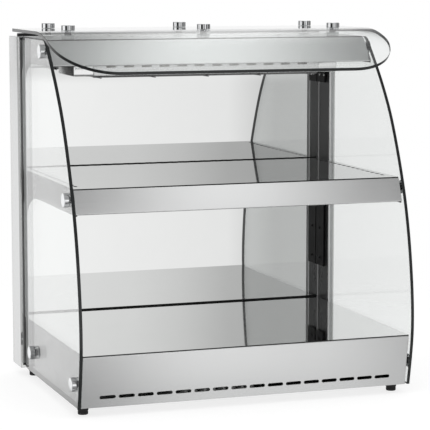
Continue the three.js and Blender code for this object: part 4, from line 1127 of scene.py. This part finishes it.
def gland_shape():
    """A cable gland: hexagonal nuts on both sides of the panel, a domed cap with ribs, and a
    rubber seal with a hole."""
    x, _, z = middle_of("cable_gland")
    rear = box("cable_gland")[1]
    nut = round_hole(x, z, 0.0119, 6)
    bore = round_hole(x, z, 0.0044)
    dome = [
        (0.0044, 0.005), (0.0105, 0.005), (0.0103, 0.009), (0.0088, 0.0118),
        (0.0072, 0.0138), (0.006, 0.0146), (0.0044, 0.0146),
    ]
    seal = [(0.0032, 0.0125), (0.0052, 0.0125), (0.0054, 0.0148), (0.0044, 0.015), (0.0034, 0.0144)]
    centre, axis = (x, PANEL_FACE, z), (0, 1, 0)
    return together([
        slab("y", PANEL_FACE + 0.0003, PANEL_FACE + 0.005, [nut, bore], 0.0006),
        slab("y", rear + 0.0001, rear + 0.0047, [nut, bore], 0.0006),
        slab("y", rear + 0.004, PANEL_FACE + 0.001, [round_hole(x, z, 0.0088, 40), bore], 0.0003),
        turned(dome, centre, axis, 96, 0, ring=True, wave=ribs(12, 0.05, 1, 2)),
        turned(seal, centre, axis, 40, 1, ring=True),
    ])


def foot_shape(node):
    """A rubber foot: a turned profile with two grooves and a recess, with a steel screw in it."""
    _, _, z0, _, _, z1 = box(node)
    x, y, _ = middle_of(node)
    tall = z1 - z0
    rubber = [
        (0.0042, 0.0048), (0.0046, 0.0044), (0.005, 0.0006), (0.0056, 0.0), (0.0084, 0.0),
        (0.009, 0.0007), (0.0093, 0.0046), (0.0087, 0.0053), (0.0087, 0.0065),
        (0.0096, 0.0072), (0.0099, 0.0102), (0.0093, 0.0109), (0.0093, 0.0121),
        (0.0102, 0.0128), (0.0105, tall - 0.0007), (0.0099, tall),
    ]
    screw = [(0.0036, 0.0047), (0.0036, 0.0036), (0.003, 0.003), (0.0012, 0.0029)]
    centre, axis = (x, y, z0), (0, 0, 1)
    return turned(rubber, centre, axis) + turned(screw, centre, axis, 24, 1)


# Operators: one for each piece or group of like pieces


class COUNTER_OT_finishes(bpy.types.Operator):
    """Mix every finish, and lay the right one on each solid that keeps its own shape"""

    bl_idname = "counter.finishes"
    bl_label = "Finishes"

    def execute(self, context):
        make_finishes(context.scene.counter_colours)
        for finish, *nodes in (
            ("brushed steel", "base_pan", "rear_panel"),
            ("mill steel", "shelf_underpan", "top_underpan"),
            # The base sides are black too: painted reflection.
            ("black powder coat", "base_side_left", "base_side_right"),
            ("black plastic", "thermostat_left", "thermostat_right"),
            ("oxidised tube", "base_heater", "shelf_heater"),
        ):
            for node in nodes:
                worn = frame["nodes"][node].data.materials
                worn.clear()
                worn.append(finish_named(finish))
        return {"FINISHED"}


class COUNTER_OT_feet(bpy.types.Operator):
    """Four rubber feet with a steel screw in each"""

    bl_idname = "counter.feet"
    bl_label = "Feet"

    def execute(self, context):
        finishes = ("black rubber", "screw steel")
        for end in ("rear", "front"):
            for side, _ in SIDES:
                node = f"foot_{end}_{side}"
                add_piece(f"rubber_{node}", foot_shape(node), "rubber", finishes, node)
        return {"FINISHED"}


class COUNTER_OT_fascias(bpy.types.Operator):
    """The slotted apron and the two leaning fascias"""

    bl_idname = "counter.fascias"
    bl_label = "Fascias"

    def execute(self, context):
        sizes = context.scene.counter_sheet
        finishes = ("brushed steel", "bare edge")
        add_piece("apron", apron_shape(sizes), "brushed_steel", finishes, "front_apron")
        flange_half = box("shelf_underpan")[3]
        for node in ("shelf_fascia", "top_fascia"):
            _, _, z0, x1, _, z1 = box(node)
            shape = fascia_shape(z0, z1, x1, flange_half, sizes)
            add_piece(f"folded_{node}", shape, "brushed_steel", finishes, node)
        return {"FINISHED"}


class COUNTER_OT_decks(bpy.types.Operator):
    """The lower deck, the slotted shelf deck with its rear lip, and the top cover"""

    bl_idname = "counter.decks"
    bl_label = "Decks"

    def execute(self, context):
        sizes = context.scene.counter_sheet
        for node, holes, finish in (
            ("lower_deck", [], "polished steel"),
            ("shelf_deck", shelf_slots(sizes), "polished steel"),
            ("top_cover", visor_holes(BOLT_HOLE, 24), "brushed steel"),
        ):
            shape = deck_shape(node, holes, sizes)
            slot = finish.replace(" ", "_")
            # Hole walls and rims take the dark edge: painted shade in the slots and along the deck
            # edges.
            add_piece(f"sheet_{node}", shape, slot, (finish, "cut edge"), node)
        _, _, z0, _, y1, z1 = box("shelf_deck")
        outline = soft_rectangle(y1 + 0.0002, MIRROR_FRONT - 0.0002, z0, z1 + 0.0014, 0.0004, 3)
        lip_half = 0.303
        lip = slab("x", -lip_half, lip_half, [outline])
        add_piece("shelf_rear_lip", lip, "rubber", ("black rubber",))
        return {"FINISHED"}


class COUNTER_OT_brackets(bpy.types.Operator):
    """Four side plates with elliptic fillets down to the posts, black as a painted reflection of
    polished steel
    """

    bl_idname = "counter.brackets"
    bl_label = "Brackets"

    def execute(self, context):
        for tier, depth, drop in (("shelf", 0.094, 0.054), ("top", 0.072, 0.046)):
            for side, _ in SIDES:
                node = f"{tier}_bracket_{side}"
                shape = bracket_shape(side, tier, depth, drop)
                add_piece(f"plate_{node}", shape, "dark_steel", ("black powder coat",), node)
        return {"FINISHED"}


class COUNTER_OT_posts(bpy.types.Operator):
    """Two rear posts with dark strips of painted shade on their inner faces, and spacer pads"""

    bl_idname = "counter.posts"
    bl_label = "Posts"

    def execute(self, context):
        # The fourth finish, the post front, is darker than the post's other faces: painted shade.
        # The second finish is the dark strip on the inner face: painted shade.
        finishes = ("upright brushed steel", "post liner", "black rubber", "post front")
        for side, sign in SIDES:
            node = f"post_{side}"
            add_piece(f"bar_{node}", post_shape(side, sign), "polished_steel", finishes, node)
        return {"FINISHED"}


class COUNTER_OT_side_glass(bpy.types.Operator):
    """Two side panes with ground edges"""

    bl_idname = "counter.side_glass"
    bl_label = "Side glass"

    def execute(self, context):
        finishes = ("clear glass", "glass edge", "ground edge")
        for side, _ in SIDES:
            shape = side_pane(side, context.scene.counter_glass)
            add_piece(f"pane_{side}", shape, "clear_glass", finishes, f"side_glass_{side}")
        return {"FINISHED"}


class COUNTER_OT_visor(bpy.types.Operator):
    """The bent glass visor over the top"""

    bl_idname = "counter.visor"
    bl_label = "Visor"

    def execute(self, context):
        shape = visor_shape(context.scene.counter_glass)
        finishes = ("visor glass", "glass edge", "ground edge")
        add_piece("bent_visor", shape, "clear_glass", finishes, "visor")
        return {"FINISHED"}


class COUNTER_OT_standoffs(bpy.types.Operator):
    """Fourteen chrome standoff bolts with clear washers"""

    bl_idname = "counter.standoffs"
    bl_label = "Standoff bolts"

    def execute(self, context):
        steps = context.scene.counter_studio.round_steps
        finishes = ("bright chrome", "clear washer")
        for side, sign in SIDES:
            for spot in SIDE_SPOTS:
                node = f"standoff_{spot}_{side}"
                _, y, z = middle_of(node)
                reach = box(node)[3] if sign > 0 else -box(node)[0]
                foot, axis = (sign * PLATE_HALF, y, z), (sign, 0, 0)
                parts = standoff_parts(foot, axis, 0.0105, 0.0015, reach - PLATE_HALF, steps)
                add_piece(f"bolt_{spot}_{side}", parts, "chrome", finishes, node)
        for end, side in VISOR_SPOTS:
            node = f"visor_standoff_{end}_{side}"
            x, y, _ = middle_of(node)
            foot, axis = (x, y, COVER_TOP), (0, 0, 1)
            parts = standoff_parts(foot, axis, 0.0115, 0.009, box(node)[5] - COVER_TOP, steps)
            add_piece(f"bolt_visor_{end}_{side}", parts, "chrome", finishes, node)
        return {"FINISHED"}


class COUNTER_OT_lamps(bpy.types.Operator):
    """The lamp housing with its end caps, lamps and guard"""

    bl_idname = "counter.lamps"
    bl_label = "Heat lamps"

    def execute(self, context):
        trough = trough_shape(context.scene.counter_sheet)
        finishes = ("brushed steel", "bare edge")
        add_piece("lamp_trough", trough, "brushed_steel", finishes, "lamp_housing")
        for side, _ in SIDES:
            cap = end_cap_shape(side)
            node = f"lamp_end_cap_{side}"
            add_piece(f"lamp_cap_{side}", cap, "brushed_steel", ("lamp cap",), node)
        finishes = ("quartz tube", "ceramic", "filament")
        for end in ("front", "rear"):
            node = f"quartz_lamp_{end}"
            add_piece(f"lamp_{end}", lamp_shape(node), "quartz", finishes, node)
        add_piece("wire_guard", guard_shape(), "chrome", ("guard wire",), "lamp_guard")
        return {"FINISHED"}


class COUNTER_OT_flap(bpy.types.Operator):
    """The mirrored rear flap: pane, foot seal, rail and lip"""

    bl_idname = "counter.flap"
    bl_label = "Rear flap"

    def execute(self, context):
        x0, y0, z0, x1, y1, z1 = box("mirror_pane")
        pane = slab("y", y0, y1, [soft_rectangle(x0, x1, z0, z1, 0.0015, 3)], 0.0008, 0, 1, 2)
        seal_outline = soft_rectangle(
            y0 - 0.0007, y1 + 0.0007, z0 - 0.0017, z0 - 0.0002, 0.0005, 3
        )
        lip = handle_shape(context.scene.counter_sheet)
        for name, shape, slot, finishes, *nodes in (
            ("mirror", pane, "mirror", ("silvered mirror", "glass edge", "mirror back"),
             "mirror_pane"),
            ("flap_foot_seal", slab("x", x0, x1, [seal_outline]), "black_metal",
             ("black rubber",)),
            ("flap_rail", rail_shape(), "black_metal", ("black anodised", "screw steel"),
             "door_rail"),
            ("flap_lip", lip, "brushed_steel", ("brushed steel", "bare edge"), "door_handle"),
        ):
            add_piece(name, shape, slot, finishes, *nodes, body="flap")
        return {"FINISHED"}


class COUNTER_OT_controls(bpy.types.Operator):
    """Dials, rocker switches, cable gland and printed scales on the rear panel"""

    bl_idname = "counter.controls"
    bl_label = "Controls"

    def execute(self, context):
        for side, _ in SIDES:
            place = joint_place(f"dial_{side}_turn")
            for name, shape, finishes, nodes, body in (
                ("dial", dial_shape(place), ("black plastic", "print"),
                 [f"thermostat_dial_{side}"], f"dial_{side}"),
                ("dial_scale", scale_marks(place), ("black anodised",), [], "chassis"),
                ("switch", housing_shape(side), ("black plastic",),
                 [f"switch_housing_{side}"], "chassis"),
                ("rocker", rocker_shape(side), ("gloss plastic", "print"),
                 [f"switch_rocker_{side}"], f"rocker_{side}"),
            ):
                add_piece(f"{name}_{side}", shape, "black_plastic", finishes, *nodes, body=body)
        finishes = ("black plastic", "black rubber")
        add_piece("gland", gland_shape(), "black_plastic", finishes, "cable_gland")
        return {"FINISHED"}


COVER_SCREWS = (
    (-0.147, 0.154), (-0.134, 0.121), (-0.119, 0.099), (0.181, 0.187), (0.176, 0.098), (0.243, 0.19)
)
TOP_SCREWS = ((0.181, 0.564), (0.203, 0.564))  # y and z on a top bracket
SHELF_SCREWS = ((0.199, 0.195), (0.199, 0.255), (0.199, 0.315))  # and on a shelf bracket
SUNK = 0.0001  # how deep a screw head sits in its sheet


class COUNTER_OT_screws(bpy.types.Operator):
    """Screws of the cover, the rear panel and the brackets"""

    bl_idname = "counter.screws"
    bl_label = "Screws"

    def execute(self, context):
        cover = [
            button_screw((x, y, COVER_TOP - SUNK), (0, 0, 1), 0.0034) for x, y in COVER_SCREWS
        ]
        _, _, foot, _, _, top = box("rear_panel")
        panel = [
            button_screw((x, PANEL_FACE - SUNK, z), (0, 1, 0), 0.0036)
            for x in (-0.296, -0.01, 0.296)
            for z in (foot + 0.008, top - 0.008)
        ]
        bracket = []
        for side, sign in SIDES:
            for finish, (tier, spots) in enumerate((("top", TOP_SCREWS), ("shelf", SHELF_SCREWS))):
                inner = box(f"{tier}_bracket_{side}")[0 if sign > 0 else 3]
                bracket += [
                    button_screw((inner + sign * SUNK, y, z), (-sign, 0, 0), 0.0030, finish)
                    for y, z in spots
                ]
        add_piece("cover_screws", together(cover), "chrome", ("screw steel",))
        add_piece("panel_screws", together(panel), "chrome", ("screw steel",))
        # Screws on the shelf brackets take the brackets' black painted reflection.
        finishes = ("screw steel", "black powder coat")
        add_piece("bracket_screws", together(bracket), "chrome", finishes)
        return {"FINISHED"}


# Studio

# Panels of the room that shiny surfaces see, as (degrees from -Y towards +X, strength): below
# the horizon, just at it, and above it
LOW_PANELS = (
    (-180, 1), (-62, 1), (-45, 0.8), (-31, 0.5), (-29, 0.35), (-13.5, 0.35), (-9, 0.7), (0, 0.95),
    (11, 1.1), (14.5, 1.1), (19.5, 0.99), (20.2, 0.98), (20.8, 0.7), (27, 0.7), (32, 0.85),
    (60, 0.9), (85, 0.6), (115, 0.8), (150, 1), (180, 1),
)
MIDDLE_PANELS = (
    (-180, 1), (-152, 1), (-149, 0.03), (-117, 0.03), (-115, 1), (-64, 1), (-62, 0.03),
    (-31, 0.03), (-29, 0.35), (-13.5, 0.35), (-12.5, 1), (-5, 1), (-4, 0.12), (9, 0.12),
    (11, 1.1), (20.2, 0.98), (27, 0.7), (29, 0.08), (50, 0.08), (52, 0.8), (60, 0.8),
    (62, 0.08), (92, 0.1), (96, 0.7), (101, 0.7), (105, 0.1), (149, 0.1), (153, 1), (180, 1),
)
HIGH_PANELS = (
    (-180, 1), (-152, 1), (-140, 0.6), (-120, 0.6), (-110, 0.95), (-70, 0.95), (-62, 0.6),
    (-31, 0.45), (-29, 0.3), (-12, 0.3), (-8, 0.9), (8, 1), (15, 1), (16.5, 0.98), (18, 0.88),
    (19.3, 0.69), (20.3, 0.6), (28, 0.58), (34, 0.9), (60, 0.9), (70, 0.6), (84, 0.6),
    (92, 0.9), (112, 0.9), (122, 0.6), (149, 0.6), (153, 1), (180, 1),
)


def studio_world(values):
    """The room. Cameras and panes see white. Shiny surfaces see a studio: white panels with dark
    gaps at the horizon, and a soft hood above and below that is brightest at one slant along X.
    Matt surfaces see an even grey-white room."""
    world = bpy.data.worlds.new("studio")
    world.use_nodes = True
    tree = world.node_tree
    tree.nodes.clear()

    def calc(operation, *numbers):
        return maths(tree, operation, *numbers)

    def smooth(value, start, end):
        return ramped(tree, value, start, end, kind="SMOOTHSTEP")

    def window(value, start, full, fade, stop):
        """One between full and fade, and nothing before start and past stop."""
        return calc("SUBTRACT", smooth(value, start, full), smooth(value, fade, stop))

    def panels(stops):
        """A ramp round the horizon through (degrees from -Y towards +X, strength)."""
        node = add_node(tree, "ValToRGB", {"Fac": share})
        elements = node.color_ramp.elements
        elements.remove(elements[-1])
        for number, (bearing, value) in enumerate(stops):
            stop = elements[0] if number == 0 else elements.new(bearing / 360 + 0.5)
            stop.position = bearing / 360 + 0.5
            stop.color = (value, value, value, 1)
        return node.outputs["Color"]

    look = add_node(tree, "TexCoord").outputs["Generated"]
    x, y, z = add_node(tree, "SeparateXYZ", {"Vector": look}).outputs
    azimuth = calc("ARCTAN2", x, calc("MULTIPLY", y, -1.0))
    share = calc("MULTIPLY_ADD", azimuth, 1 / (2 * math.pi), 0.5)

    aside = calc("MULTIPLY_ADD", smooth(z, 0.6, 0.9), 0.011, calc("ABSOLUTE", x))
    wide = calc("MULTIPLY", calc("MINIMUM", z, 0.0), -0.075)
    fallen = smooth(calc("SUBTRACT", aside, calc("ADD", wide, 0.38)), -0.04, 0.04)
    risen = smooth(calc("MULTIPLY_ADD", wide, 0.4, aside), 0.255, 0.325)
    hood = calc("MULTIPLY_ADD", calc("SUBTRACT", risen, fallen), 0.78, 0.34)
    below, beside = window(z, -0.93, -0.88, -0.62, -0.52), window(x, 0.2, 0.28, 0.38, 0.46)
    patch = calc("MULTIPLY", below, beside)
    hood = calc("MULTIPLY", hood, calc("MULTIPLY_ADD", patch, -0.85, 1.0))
    dimmer = calc("MULTIPLY_ADD", smooth(z, 0.1, 0.16), 0.19, 0.87)
    shine = hood
    for over, band in (
        (calc("MULTIPLY", panels(HIGH_PANELS), dimmer), (0.045, 0.075, 0.2, 0.28)),
        (panels(MIDDLE_PANELS), (-0.06, -0.045, 0.045, 0.075)),
        (panels(LOW_PANELS), (-0.26, -0.20, -0.06, -0.045)),
    ):
        shine = blend(tree, "FLOAT", window(z, *band), shine, over)

    rays = add_node(tree, "LightPath").outputs
    plain = calc("MAXIMUM", rays["Is Camera Ray"], rays["Is Transmission Ray"])
    room = blend(tree, "FLOAT", rays["Is Glossy Ray"], values.room_light, shine)
    seen = blend(tree, "FLOAT", plain, room, 1.0)
    light = add_node(tree, "Background", {"Color": (1, 1, 1, 1), "Strength": seen})
    finish_with(tree, light, "OutputWorld")
    return world


FLOOR_GREY = (0.36, 0.36, 0.36)
FLOOR_GLOW = 0.745  # with the lit grey, this makes the floor white beside the shadow


def floor_finish(values):
    """A pale matt floor that shows the object's shadow and fades into the background towards
    its rim, where its share falls smoothly with the distance from the middle."""
    tree = emptied_tree("pale floor")
    place = add_node(tree, "TexCoord").outputs["Object"]
    length = add_node(tree, "VectorMath", {0: place}, operation="LENGTH").outputs["Value"]
    start, end = values.floor_radius * 0.5, values.floor_radius * 0.98
    tint = tinted(tree, grain_noise(tree, (60, 60, 60), 2.0), FLOOR_GREY, 0.005)
    lit = add_node(tree, "AddShader", {
        0: add_node(tree, "BsdfDiffuse", {"Color": tint}).outputs[0],
        1: add_node(tree, "Emission", {"Color": (1, 1, 1, 1), "Strength": FLOOR_GLOW}).outputs[0],
    })
    finish_with(tree, add_node(tree, "MixShader", {
        0: ramped(tree, length, start, end, kind="SMOOTHSTEP"),
        1: lit.outputs[0],
        2: add_node(tree, "BsdfTransparent").outputs[0],
    }))
    return finish_named("pale floor")


class COUNTER_OT_studio(bpy.types.Operator):
    """Pale floor, white room, a soft lamp and the camera"""

    bl_idname = "counter.studio"
    bl_label = "Studio"

    def execute(self, context):
        scene = context.scene
        values = scene.counter_studio
        scene.world = studio_world(values)
        scene.view_settings.view_transform = "Standard"
        disc = round_hole(0, 0, values.floor_radius, 96)
        flat = np.column_stack([disc, np.full(len(disc), -0.0005)])
        floor_mesh = bpy.data.meshes.new("floor")
        floor_mesh.from_pydata(flat.tolist(), [], [list(range(len(flat)))])
        floor_mesh.materials.append(floor_finish(values))
        floor = bpy.data.objects.new("floor", floor_mesh)
        floor.visible_glossy = False
        scene.collection.objects.link(floor)
        lamp_data = bpy.data.lights.new("soft lamp", "AREA")
        lamp_data.shape = "SQUARE"
        lamp_data.size = 2.2
        lamp_data.energy = values.lamp_power
        lamp = bpy.data.objects.new("soft lamp", lamp_data)
        lamp.location = (-0.9, -1.6, 2.8)
        towards = Vector((0, 0, 0.3)) - lamp.location
        lamp.rotation_euler = towards.to_track_quat("-Z", "Y").to_euler()
        lamp.visible_glossy = False
        scene.collection.objects.link(lamp)
        camera_data = bpy.data.cameras.new("camera")
        camera_data.lens = values.lens
        camera_data.sensor_width = 36.0
        camera_data.clip_start = 0.05
        camera = bpy.data.objects.new("camera", camera_data)
        camera.location = values.camera_place
        yaw, pitch = values.camera_yaw, values.camera_pitch
        level = math.cos(pitch)
        ahead = Vector((math.sin(yaw) * level, math.cos(yaw) * level, -math.sin(pitch)))
        camera.rotation_euler = ahead.to_track_quat("-Z", "Y").to_euler()
        scene.collection.objects.link(camera)
        scene.camera = camera
        return {"FINISHED"}


# Add-on


OPERATORS = (
    COUNTER_OT_finishes,
    COUNTER_OT_feet,
    COUNTER_OT_fascias,
    COUNTER_OT_decks,
    COUNTER_OT_brackets,
    COUNTER_OT_posts,
    COUNTER_OT_side_glass,
    COUNTER_OT_visor,
    COUNTER_OT_standoffs,
    COUNTER_OT_lamps,
    COUNTER_OT_flap,
    COUNTER_OT_controls,
    COUNTER_OT_screws,
    COUNTER_OT_studio,
)


class COUNTER_PT_panel(bpy.types.Panel):
    """Lists the makers of the counter's pieces"""

    bl_idname = "COUNTER_PT_panel"
    bl_label = "Food Counter"
    bl_space_type = "VIEW_3D"
    bl_region_type = "UI"
    bl_category = "Food Counter"

    def draw(self, context):
        for operator in OPERATORS:
            self.layout.operator(operator.bl_idname)


PROPERTY_GROUPS = (
    ("counter_sheet", SheetSizes),
    ("counter_glass", GlassSizes),
    ("counter_colours", Colours),
    ("counter_studio", StudioValues),
)


def register():
    for name, group in PROPERTY_GROUPS:
        bpy.utils.register_class(group)
        setattr(bpy.types.Scene, name, bpy.props.PointerProperty(type=group))
    for operator in OPERATORS:
        bpy.utils.register_class(operator)
    bpy.utils.register_class(COUNTER_PT_panel)


def unregister():
    bpy.utils.unregister_class(COUNTER_PT_panel)
    for operator in reversed(OPERATORS):
        bpy.utils.unregister_class(operator)
    for name, group in reversed(PROPERTY_GROUPS):
        delattr(bpy.types.Scene, name)
        bpy.utils.unregister_class(group)


def main():
    register()
    for operator in OPERATORS:
        group, name = operator.bl_idname.split(".")
        getattr(getattr(bpy.ops, group), name)()


if __name__ == "__main__":
    main()
